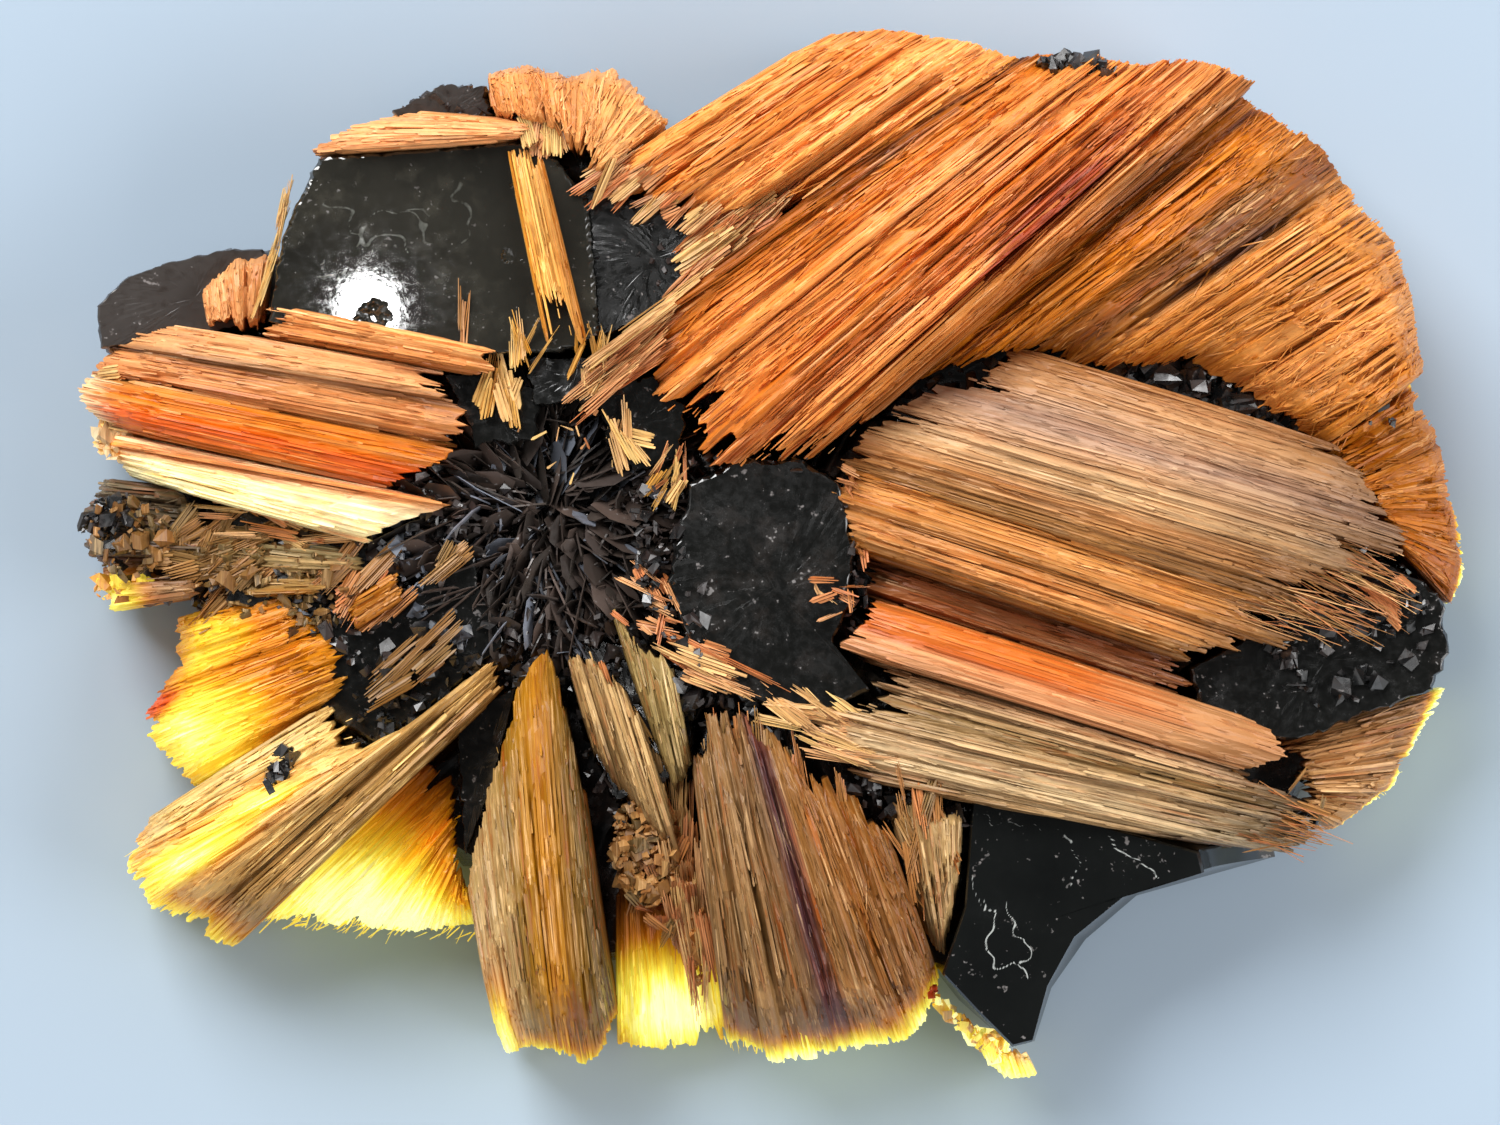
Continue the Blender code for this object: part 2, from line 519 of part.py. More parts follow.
def loft(rings_top, rings_bottom):
    """Closed body between a grid of top points and one of bottom points, both (along, across, 3)."""
    bm = bmesh.new()
    top = [[bm.verts.new(point) for point in ring] for ring in rings_top]
    low = [[bm.verts.new(point) for point in ring] for ring in rings_bottom]
    for grid in (top, low):
        for near, far in zip(grid, grid[1:]):
            for j in range(len(near) - 1):
                bm.faces.new((near[j], far[j], far[j + 1], near[j + 1]))
    for j in (0, -1):
        side = [ring[j] for ring in top] + [ring[j] for ring in reversed(low)]
        bmesh.ops.triangulate(bm, faces=[bm.faces.new(side)])
    for i in (0, -1):
        for j in range(len(top[i]) - 1):
            bm.faces.new((top[i][j], top[i][j + 1], low[i][j + 1], low[i][j]))
    return bm


def sheaf(lines, top, bed, rods, crown, seed):
    """A fused sheaf: each rod is a ridge between two valleys, and stands a little proud at both ends."""
    rng = np.random.RandomState(seed)
    points = 2 * rods + 1
    across = np.linspace(0, 1, points)
    across[1:-1] += rng.uniform(-0.25, 0.25, points - 2) / points
    is_ridge = np.arange(points) % 2 == 1
    roots, tips = strands(lines, across)
    way = tips - roots
    length = np.linalg.norm(way, axis=1, keepdims=True)
    way /= length
    depth = np.where(
        is_ridge, rng.uniform(*RIDGE_HEIGHTS, points), -rng.uniform(*VALLEY_DEPTHS, points)
    )
    recess = np.where(is_ridge, 0.0, VALLEY_RECESS)
    longest = MOST_RECESS * length[:, 0]
    start = np.minimum(recess + rng.uniform(0, RAGGED_END, points) * is_ridge, longest)
    end = np.minimum(recess + rng.uniform(0, RAGGED_END, points) * is_ridge, longest)
    arch = crown * (1 - (2 * across - 1) ** 2) - crown / 2
    stations = [0.0, ROOT_STATION, 0.5, SHOULDER_STATION, 1.0]
    top_rings, low_rings = [], []
    for u, height in zip(stations, top):
        place = roots + way * (start[:, None] + u * (length - start[:, None] - end[:, None]))
        fade = 0.5 if u in (0.0, 1.0) else 1.0
        floor = bed[0] + (bed[1] - bed[0]) * u
        z_top = np.maximum(height + fade * (arch + depth), floor + LEAST_THICKNESS)
        top_rings.append(np.column_stack([place, z_top]))
        if u in (0.0, 1.0):
            low_rings.append(np.column_stack([place, np.full(points, floor)]))
    return loft(np.array(top_rings), np.array(low_rings))


def sheaf_bed(lines, top, bed):
    """The room that a sheaf takes in the hematite: its envelope, grown by the clearance."""
    roots, tips = (np.array([line[k] for line in lines], float) for k in (0, 1))
    way = tips - roots
    way /= np.linalg.norm(way, axis=1, keepdims=True)
    middles = (roots + tips) / 2
    for edge, inner in ((0, 1), (-1, -2)):
        outward = middles[edge] - middles[inner]
        outward -= way[edge] * (outward @ way[edge])
        outward *= CLEARANCE / np.linalg.norm(outward)
        roots[edge] += outward
        tips[edge] += outward
    top_rings, low_rings = [], []
    for u in np.linspace(0, 1, BED_STATIONS):
        place = roots + (tips - roots) * u + way * CLEARANCE * (2 * u - 1)
        floor = bed[0] + (bed[1] - bed[0]) * u - FLOOR_CLEARANCE
        low_rings.append(np.column_stack([place, np.full(len(lines), floor)]))
        if u in (0.0, 1.0):
            top_rings.append(np.column_stack([place, np.full(len(lines), max(top) + HEADROOM)]))
    return loft(np.array(top_rings), np.array(low_rings))


def build_hematite(material, beds):
    """The slab, its tablets and the rosette, grown together, with a bed cut for each sheaf."""
    scene_objects = bpy.context.scene.collection
    tablets = helper_collection("hematite_tablets")
    hematite = add_object("hematite_mass", slab(), material, scene_objects)
    shapes = [tablet(t["outline"], t["top"], t["foot"], t["tilt"]) for t in TABLETS.values()]
    shapes += [broken_tablet(), rosette_core()]
    rng = np.random.RandomState(ROSETTE_SEED)
    shapes += [rosette_plate(rng, i) for i in range(ROSETTE_PLATES)]
    for index, shape in enumerate(shapes):
        hide_helper(add_object(f"tablet_{index}", shape, material, tablets))
    for name, operation, collection in (("grown_together", "UNION", tablets), ("beds", "DIFFERENCE", beds)):
        boolean = hematite.modifiers.new(name, "BOOLEAN")
        boolean.operation = operation
        boolean.solver = "MANIFOLD"  # EXACT leaves an open edge where two tablets share a corner
        boolean.operand_type = "COLLECTION"
        boolean.collection = collection
    return hematite


def main():
    clear_scene()
    specimen = bpy.data.objects.new("specimen", None)
    bpy.context.scene.collection.objects.link(specimen)
    materials = {name: finish_material(name) for name in COLOURS}
    beds = helper_collection("sheaf_beds")
    for seed, (name, s) in enumerate(SHEAVES.items()):
        material = materials[s["colour"]]
        shape = sheaf(s["lines"], s["top"], s["bed"], s["rods"], s["crown"], seed)
        add_object(name, shape, material, bpy.context.scene.collection).parent = specimen
        hide_helper(add_object(f"bed_{name}", sheaf_bed(s["lines"], s["top"], s["bed"]), material, beds))
    build_hematite(materials["hematite"], beds).parent = specimen


main()
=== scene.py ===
import bpy
import numpy as np
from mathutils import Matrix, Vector


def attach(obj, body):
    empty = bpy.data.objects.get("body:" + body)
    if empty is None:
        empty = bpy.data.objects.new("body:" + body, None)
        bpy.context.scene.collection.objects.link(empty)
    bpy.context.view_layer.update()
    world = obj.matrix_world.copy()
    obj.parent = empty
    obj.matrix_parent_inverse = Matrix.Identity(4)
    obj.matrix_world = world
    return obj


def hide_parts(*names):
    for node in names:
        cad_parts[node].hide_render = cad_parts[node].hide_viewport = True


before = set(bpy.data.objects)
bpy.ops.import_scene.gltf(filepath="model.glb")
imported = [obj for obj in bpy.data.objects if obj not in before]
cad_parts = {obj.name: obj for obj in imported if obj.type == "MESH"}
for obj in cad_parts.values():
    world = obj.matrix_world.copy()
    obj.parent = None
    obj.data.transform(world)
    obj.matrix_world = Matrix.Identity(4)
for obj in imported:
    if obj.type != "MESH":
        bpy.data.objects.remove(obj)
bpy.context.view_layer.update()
mm = 0.001


def linear(red, green, blue):
    # screen colour 0 to 255 to the linear values that shaders take
    shade = np.array([red, green, blue], float) / 255
    flat = np.where(shade <= 0.04045, shade / 12.92, ((shade + 0.055) / 1.055) ** 2.4)
    return (*[float(v) for v in flat], 1.0)


class Value:
    # one output of a node; arithmetic on it adds Math nodes
    def __init__(self, tree, socket):
        self.tree = tree
        self.socket = socket

    def maths(self, operation, first, second):
        node = self.tree.nodes.new("ShaderNodeMath")
        node.operation = operation
        for place, thing in enumerate((first, second)):
            if isinstance(thing, Value):
                self.tree.links.new(thing.socket, node.inputs[place])
            else:
                node.inputs[place].default_value = thing
        return Value(self.tree, node.outputs[0])

    def __add__(self, other):
        return self.maths("ADD", self, other)

    def __radd__(self, other):
        return self.maths("ADD", other, self)

    def __sub__(self, other):
        return self.maths("SUBTRACT", self, other)

    def __rsub__(self, other):
        return self.maths("SUBTRACT", other, self)

    def __mul__(self, other):
        return self.maths("MULTIPLY", self, other)

    def __rmul__(self, other):
        return self.maths("MULTIPLY", other, self)

    def __truediv__(self, other):
        return self.maths("DIVIDE", self, other)

    def __pow__(self, other):
        return self.maths("POWER", self, other)


class Finish:
    # a material with one Principled shader, and the nodes that feed it
    def __init__(self, name, plain):
        self.material = bpy.data.materials.new(name)
        self.material.use_nodes = True
        self.tree = self.material.node_tree
        self.shader = self.tree.nodes["Principled BSDF"]
        for socket, value in plain.items():
            self.shader.inputs[socket].default_value = value

    def node(self, kind, settings=None, sockets=None, output=0):
        made = self.tree.nodes.new("ShaderNode" + kind)
        for key, value in (settings or {}).items():
            if key == "stops":
                ramp = made.color_ramp
                while len(ramp.elements) < len(value):
                    ramp.elements.new(0.5)
                for element, (place, colour) in zip(ramp.elements, value):
                    element.position = place
                    element.color = colour
            else:
                setattr(made, key, value)
        for key, value in (sockets or {}).items():
            if isinstance(value, Value):
                self.tree.links.new(value.socket, made.inputs[key])
            else:
                made.inputs[key].default_value = value
        return Value(self.tree, made.outputs[output])

    def parts(self, vector):
        # the three numbers of a vector
        node = self.node("SeparateXYZ", sockets={"Vector": vector}).socket.node
        return [Value(self.tree, node.outputs[i]) for i in range(3)]

    def attribute(self, name):
        return self.node("Attribute", {"attribute_name": name}, output=1)

    def noise(self, vector, scale, detail=3.0, rough=0.55):
        return self.node("TexNoise", {"noise_dimensions": "3D"},
                         {"Vector": vector, "Scale": scale, "Detail": detail, "Roughness": rough})

    def scaled(self, vector, factors):
        return self.node("VectorMath", {"operation": "MULTIPLY"}, {0: vector, 1: factors})

    def brighter(self, colour, amount):
        # a colour times a number
        return self.node("VectorMath", {"operation": "SCALE"}, {0: colour, "Scale": amount})

    def mix(self, factor, first, second, blend="MIX"):
        return self.node("Mix", {"data_type": "RGBA", "blend_type": blend, "clamp_factor": True},
                         {0: factor, 6: first, 7: second}, output=2)

    def ramp(self, factor, stops):
        return self.node("ValToRGB", {"stops": stops}, {0: factor})

    def range(self, value, low, high, newLow=0.0, newHigh=1.0):
        return self.node("MapRange", {"clamp": True},
                         {0: value, 1: low, 2: high, 3: newLow, 4: newHigh})

    def feed(self, socket, value):
        self.tree.links.new(value.socket, self.shader.inputs[socket])

    def bump(self, height, strength, distance):
        self.feed("Normal", self.node("Bump", sockets={
            "Height": height, "Strength": strength, "Distance": distance * mm}))


def rutileFinish(name, look):
    # silky fused needles: bands of colour across the sheaf, streaks along it at three widths, painted shade in grooves,
    # a painted backlit glow
    finish = Finish(name, {"IOR": 1.5, "Emission Strength": 1.0 if look.get("glow") else 0.0})
    tone, across, along = finish.parts(finish.attribute("look"))
    paintedLight, glow, shadeAndStain = finish.parts(finish.attribute("light"))
    fibre = finish.attribute("fibre")
    wander = finish.noise(finish.scaled(fibre, (0.5, 0.16, 0.0)), 1.0, 3.0)
    banded = finish.ramp(across + (wander - 0.5) * look.get("wander", 0.22),
                         [(place, linear(*colour)) for place, colour in look["bands"]])
    broad = finish.noise(finish.scaled(fibre, (1.9, 0.16, 0.0)), 1.0, 2.0)
    streak = finish.noise(finish.scaled(fibre, (6.5, 0.3, 0.05)), 1.0, 3.0, 0.6)
    hair = finish.noise(finish.scaled(fibre, (24.0, 0.9, 0.3)), 1.0, 2.0, 0.5)
    patch = finish.noise(finish.scaled(fibre, (0.45, 0.4, 0.0)), 1.0, 2.0)
    fleck = finish.noise(finish.scaled(fibre, (11.0, 3.2, 1.0)), 1.0, 2.0, 0.6)
    streaks = look.get("streaks", 1.0)
    mixed = (broad * 0.35 + streak * 0.4 + hair * 0.25 - 0.5) * streaks + (tone - 0.5) * 0.1
    deep = finish.range(mixed, -0.02, -0.16) * look.get("deepShare", 0.6)
    colour = finish.mix(deep, banded, linear(*look.get("deep", (186, 92, 40))))
    pale = finish.range(mixed, 0.04, 0.17) * look.get("paleness", 0.6)
    colour = finish.mix(pale, colour, linear(*look.get("pale", (250, 208, 156))))
    # stains: real stains such as a red patch, and in places painted shadow lines between sub-sheaves, in the stain
    # colour
    if look.get("shadeAndStainSpots"):
        colour = finish.mix(finish.range(shadeAndStain + (streak - 0.5) * 0.8, 0.25, 0.9), colour, linear(*look["shadeAndStain"]))
    # painted shade: the colour is darkened where the first value of the light attribute is low (grooves, rod edges,
    # needle sides), down to the groove share
    grooveShade = look.get("grooveShade", 0.45)
    light = (1.0 + 1.1 * mixed + look.get("patches", 0.6) * (patch - 0.5)
             + look.get("flecks", 0.5) * (fleck - 0.5)) * look.get("bright", 1.0)
    colour = finish.node("HueSaturation", sockets={"Saturation": look.get("rich", 1.13), "Color": colour})
    colour = finish.brighter(colour, light * (grooveShade + (1 - grooveShade) * paintedLight))
    if "tip" in look:
        shade = finish.range(along + (streak - 0.5) * 0.3, look["tipFrom"], look.get("tipTo", 1.02))
        colour = finish.mix(shade * look.get("tipShare", 0.8), colour, linear(*look["tip"]))
    # painted glow: where the glow spots lie the colour turns yellow and the surface gives off light, as thin edges lit
    # from behind would look
    if look.get("glow"):
        lit = finish.range(glow * (0.8 + 1.0 * (streak - 0.4) + 0.5 * (patch - 0.5)), 0.04, 1.0)
        if look.get("shadeAndStainSpots"):
            lit = lit * (1 - 0.85 * finish.range(shadeAndStain, 0.1, 0.8))
        glowColour = finish.ramp(lit, [(0.0, linear(196, 96, 22)), (0.2, linear(246, 150, 24)),
                                       (0.4, linear(255, 212, 36)), (0.65, linear(255, 246, 84)),
                                       (1.0, linear(255, 254, 180))])
        colour = finish.mix(lit, colour, glowColour)
        shine = lit * (0.35 + 0.65 * paintedLight) * look.get("shine", 0.62)
        finish.feed("Emission Color", finish.brighter(glowColour, shine))
    finish.feed("Base Color", colour)
    finish.feed("Roughness", finish.range(streak, 0.2, 0.8, 0.36, 0.62))
    finish.bump(streak * 0.5 + hair * 0.5, 0.5, 0.05)
    return finish.material


def gridFaces(rows, columns, offset=0, wrap=False):
    # quads of a rows by columns grid of points, numbered along the columns first
    i, j = np.meshgrid(np.arange(rows - 1), np.arange(columns if wrap else columns - 1), indexing="ij")
    k = (j + 1) % columns
    quads = np.stack([i * columns + j, (i + 1) * columns + j, (i + 1) * columns + k, i * columns + k], axis=-1)
    return quads.reshape(-1, 4) + offset


def closedLoft(top, low):
    # closed body under a grid of points: its underside runs straight from the first row of low to the last one,
    # both ends are rows of quads, and each long side is one many-cornered face
    rows, columns = top.shape[:2]
    count = rows * columns
    j = np.arange(columns - 1)
    last = (rows - 1) * columns
    quads = [gridFaces(rows, columns), gridFaces(2, columns, count)[:, ::-1],
             np.stack([j, j + 1, j + 1 + count, j + count], axis=1),
             np.stack([j + last, j + columns + count, j + 1 + columns + count, j + 1 + last], axis=1)]
    i = np.arange(rows) * columns
    left = np.concatenate([i[::-1], [count, count + columns]])
    right = np.concatenate([i + columns - 1, [count + 2 * columns - 1, count + columns - 1]])
    points = np.concatenate([top.reshape(-1, 3), low[[0, -1]].reshape(-1, 3)])
    return points, np.concatenate(quads), np.stack([left, right])


def signedVolume(points, faces):
    # sum over the faces, cut into triangles, of a . (b x c)
    total = 0.0
    for k in range(1, faces.shape[1] - 1):
        a, b, c = points[faces[:, 0]], points[faces[:, k]], points[faces[:, k + 1]]
        total += np.einsum("ij,ij->", a, np.cross(b, c))
    return total


class Heap:
    # several closed meshes and their attributes, gathered into one; their faces are turned outward
    def __init__(self, *names):
        self.points = []
        self.faces = []
        self.attributes = {name: [] for name in names}
        self.total = 0
        self.bodies = 0

    def add(self, points, *faces, bodies=1, **attributes):
        middle = points.mean(axis=0)
        turned = sum(signedVolume(points - middle, part) for part in faces) < 0
        for part in faces:
            self.faces.append((part[:, ::-1] if turned else part) + self.total)
        self.points.append(points)
        self.total += len(points)
        self.bodies += bodies
        for name in self.attributes:
            self.attributes[name].append(np.broadcast_to(attributes[name], (len(points), 3)))

    def make(self, name, material, replaced=(), smooth=False):
        points = np.concatenate(self.points) * mm
        sizes = np.concatenate([np.full(len(part), part.shape[1]) for part in self.faces])
        corners = np.concatenate([part.ravel() for part in self.faces]).astype(np.int32)
        starts = np.concatenate([[0], np.cumsum(sizes)[:-1]]).astype(np.int32)
        mesh = bpy.data.meshes.new(name)
        mesh.vertices.add(len(points))
        mesh.vertices.foreach_set("co", points.astype(np.float32).ravel())
        mesh.loops.add(len(corners))
        mesh.loops.foreach_set("vertex_index", corners)
        mesh.polygons.add(len(sizes))
        mesh.polygons.foreach_set("loop_start", starts)
        mesh.update(calc_edges=True)
        for key, values in self.attributes.items():
            layer = mesh.attributes.new(key, "FLOAT_VECTOR", "POINT")
            layer.data.foreach_set("vector", np.concatenate(values).astype(np.float32).ravel())
        if smooth:
            mesh.shade_smooth()
            mesh.set_sharp_from_angle(angle=np.radians(30))
        else:
            mesh.shade_flat()
        mesh.materials.append(material)
        piece = bpy.data.objects.new(name, mesh)
        bpy.context.scene.collection.objects.link(piece)
        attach(piece, "root")
        if replaced:
            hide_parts(*replaced)
        print(f"{name}: {self.bodies} crystals, {int((sizes - 2).sum())} triangles")
        return piece


sheafStations = [0, 0.12, 0.5, 0.85, 1]
underneath = 0.35  # nothing of a sheaf hangs lower than this over the floor


def strandEnds(sheaf, across):
    # root and tip of a strand at each across value, between the key lines and even in width half way along;
    # the outer key lines are moved out by the sheaf's spare width, and all are longer by its reach, so that
    # neighbours meet
    roots, tips = (np.array([line[k] for line in sheaf["lines"]], float) for k in (0, 1))
    for edge, inner in ((0, 1), (-1, -2)):
        out = (roots[edge] + tips[edge] - roots[inner] - tips[inner]) / 2
        out *= sheaf.get("spare", (0.25, 0.25))[edge] / np.linalg.norm(out)
        roots[edge] += out
        tips[edge] += out
    way = (tips - roots) / np.linalg.norm(tips - roots, axis=1, keepdims=True)
    reach = sheaf.get("reach", (0.2, 0.1))
    roots -= way * reach[0]
    tips += way * reach[1]
    walked = np.concatenate([[0], np.cumsum(np.hypot(*np.diff((roots + tips) / 2, axis=0).T))])
    ends = [np.stack([np.interp(across, walked / walked[-1], side[:, k]) for k in (0, 1)], axis=-1)
            for side in (roots, tips)]
    return ends[0], ends[1], walked[-1]


def skinHeight(sheaf, along, across):
    # height of the sheaf's skin: its five heights joined and rounded off, arched across by its crown
    height = sum(np.interp(np.clip(along + s, 0, 1), sheafStations, sheaf["top"])
                 for s in np.linspace(-0.05, 0.05, 5)) / 5
    edge = np.abs(2 * across - 1)
    return height + sheaf["crown"] * (0.4 - 0.8 * edge ** 3) - sheaf.get("shoulder", 0.3) * edge ** 9


def rodsAcross(sheaf, across, along, rods, amount, seed):
    # rods of very uneven width: each stands at its own height, is a little rounded, and steps where it has broken
    own = np.random.RandomState(seed)
    edges = np.concatenate([[0], np.cumsum(own.gamma(1.3, 1, rods) + 0.15)])
    edges /= edges[-1]
    tall = own.uniform(-0.5, 0.3, rods) * amount
    broken = own.uniform(0.05, 0.97, (rods, 3))
    step = own.uniform(-0.4, 0.3, (rods, 3)) * amount
    which = np.clip(np.searchsorted(edges, across, side="right") - 1, 0, rods - 1)
    share = (across - edges[which]) / (edges[which + 1] - edges[which])
    inside = np.abs(2 * share - 1)
    lean = own.uniform(-0.3, 0.3, rods)[which] * amount
    height = tall[which] - 0.2 * amount * inside ** 5 + lean * share
    for k in range(3):
        height = height + np.where(along > broken[which, k], step[which, k], 0)
    return height, inside, own.uniform(0, 1, (2, rods))[:, which]


def rodRelief(sheaf, across, along):
    # relief of the wide rods with that of the fine ones on them, and how open each place is to the light
    amount = sheaf.get("relief", 0.8)
    wide, inside, _ = rodsAcross(sheaf, across, along, sheaf["rods"], amount, sheaf["seed"] + 500)
    middle = rodsAcross(sheaf, across, along, sheaf["rods"] * 3, amount * 0.32, sheaf["seed"] + 600)[0]
    fine = rodsAcross(sheaf, across, along, sheaf["rods"] * 9, amount * 0.12, sheaf["seed"] + 700)[0]
    return wide + middle + fine, 1 - 0.4 * inside ** 8


def strandSpan(sheaf, across, length):
    # along values where a strand starts and ends: a rod ends in a blunt point, some way back from the key line
    back = rodsAcross(sheaf, across, 0.5, sheaf["rods"], 1.0, sheaf["seed"] + 500)[2]
    _, fineInside, fine = rodsAcross(sheaf, across, 0.5, sheaf["rods"] * 5, 1.0, sheaf["seed"] + 700)
    blunt = sheaf.get("blunt", (0.35, 0.12))
    start, end = ((back[k] ** 3 * 0.8 + fine[k] ** 4 * 0.9) * ragged + blunt[k] * fineInside * (0.2 + 1.3 * fine[k])
                  for k, ragged in enumerate((sheaf.get("rootRagged", 0.7), sheaf.get("ragged", 0.7))))
    return np.minimum(start / length, 0.3), 1 - np.minimum(end / length, 0.4)


def sheafPlace(sheaf, across, along, level):
    # a point of the sheaf: ruled between its key lines in plan, level 0 on its bed and 1 on its skin
    root, tip, width = strandEnds(sheaf, across)
    flat = root + (tip - root) * along[..., None]
    floor = sheaf["bed"][0] + (sheaf["bed"][1] - sheaf["bed"][0]) * along
    height = floor + (skinHeight(sheaf, along, across) - floor) * level
    way = tip - root
    length = np.linalg.norm(way, axis=-1)
    return flat, height, way / length[..., None], length, width


def spotsOf(sheaf, kind, along, across):
    # strongest of the sheaf's oval spots of one kind at each point: painted glow, and stains that in places are painted
    # shadow lines
    spot = np.zeros(np.broadcast(along, across).shape)
    for u, t, spreadU, spreadT, strength in sheaf.get(kind, ()):
        spot = np.maximum(spot, strength * np.exp(-((along - u) / spreadU) ** 2 - ((across - t) / spreadT) ** 2))
    return spot


def addNeedles(heap, sheaf, rng, across, start, end, level, width, stations, lift, drift=0.0):
    # each needle is a four-sided rod half sunk in the skin along a strand: rings of four points at its stations,
    # narrower in the first and the last one, with its face towards the sky a little tilted
    count = len(across)
    s = np.array([0, 0.1, 1])
    if stations > 3:
        s = np.concatenate([[0, 0.05], np.linspace(0, 1, stations - 2)[1:-1], [0.95, 1]])
    narrow = np.ones((count, len(s)))
    narrow[:, 0] = rng.uniform(0.1, 0.8, count)
    narrow[:, -1] = rng.uniform(0.1, 0.8, count)
    along = start[:, None] + (end - start)[:, None] * s
    t = np.clip(across[:, None] + (drift * (end - start))[:, None] * s, 0, 1)
    flat, height, way, length, sheafWidth = sheafPlace(sheaf, t, along, level[:, None])
    relief, openness = rodRelief(sheaf, across, (start + end) / 2)
    height = height + relief[:, None] * level[:, None] ** 2 + lift[0][:, None] * (1 - s) + lift[1][:, None] * s ** 2
    side = np.stack([-way[..., 1], way[..., 0]], axis=-1)
    girth = width[:, None] * narrow
    tilt = rng.uniform(-0.28, 0.28, (count, 1))
    sideways = np.stack([-0.5 * girth, -0.34 * girth, 0.34 * girth, 0.5 * girth], axis=-1)
    up = np.stack([-0.9 * girth, tilt * girth, -tilt * girth, -0.9 * girth], axis=-1)
    points = np.empty((count, len(s), 4, 3))
    points[..., :2] = flat[:, :, None] + side[:, :, None] * sideways[..., None]
    points[..., 2] = np.maximum(height[:, :, None] + up, underneath + 0.02 * np.arange(4))
    ring = gridFaces(len(s), 4, wrap=True)
    last = (len(s) - 1) * 4
    ring = np.concatenate([ring, [[0, 1, 2, 3]], [[last + 3, last + 2, last + 1, last]]])
    faces = (ring[None] + (np.arange(count) * len(s) * 4)[:, None, None]).reshape(-1, 4)
    shape = (count, len(s), 4)
    own = rng.uniform(0, 1, (count, 1, 1))
    whole = lambda value: np.broadcast_to(value, shape)
    look = np.stack([whole(own), whole(t[..., None]), whole(along[..., None])], axis=-1)
    # painted shade: a needle's lower side edges get 0.3 of the light its top gets, times the rod's openness
    paintedLight = np.array([0.3, 1.0, 1.0, 0.3]) * openness[:, None, None]
    light = np.stack([whole(paintedLight), whole(spotsOf(sheaf, "glow", along, t)[..., None]),
                      whole(spotsOf(sheaf, "shadeAndStainSpots", along, t)[..., None])], axis=-1)
    fibre = np.stack([t[..., None] * sheafWidth + sideways, whole((along * length)[..., None]), whole(own * 40)],
                     axis=-1)
    heap.add(points.reshape(-1, 3), faces, bodies=count, look=look.reshape(-1, 3), light=light.reshape(-1, 3),
             fibre=fibre.reshape(-1, 3))


def addBody(heap, sheaf, rng, width, length):
    # the fused body: a closed loft whose skin has the rods' relief and ribs finer than a needle
    columns = max(10, int(width * 8))
    rows = int(14 + length * 1.6)
    t, u = np.meshgrid(np.linspace(0, 1, columns), np.linspace(0, 1, rows))
    first, last = strandSpan(sheaf, t, length)
    u = first + u * (last - first)
    flat, height, _, strandLength, _ = sheafPlace(sheaf, t, u, np.ones_like(t))
    relief, openness = rodRelief(sheaf, t, u)
    floor = sheafPlace(sheaf, t, u, np.zeros_like(t))[1]
    ribs = rng.uniform(-0.05, 0.04, columns) + rng.uniform(-0.02, 0.02, t.shape)
    edge = 0.35 * np.maximum(0, 1 - np.minimum(t, 1 - t) * width / 0.25) ** 2
    top = np.dstack([flat, np.maximum(height + relief + ribs - 0.04 - edge, floor + 0.3)])
    low = np.dstack([flat, np.maximum(floor, underneath)])
    points, quads, sides = closedLoft(top, low)
    tone = np.broadcast_to(rng.uniform(0.2, 0.8, columns), t.shape)
    look = np.dstack([tone, t, u])
    # painted shade: 0.9 of the light on the rods, less towards their edges
    light = np.dstack([0.9 * openness, spotsOf(sheaf, "glow", u, t), spotsOf(sheaf, "shadeAndStainSpots", u, t)])
    fibre = np.dstack([t * width, u * strandLength, np.zeros(t.shape)])
    both = lambda grid: np.concatenate([grid, grid[[0, -1]]]).reshape(-1, 3)
    heap.add(points, quads, sides, look=both(look), light=both(light), fibre=both(fibre))


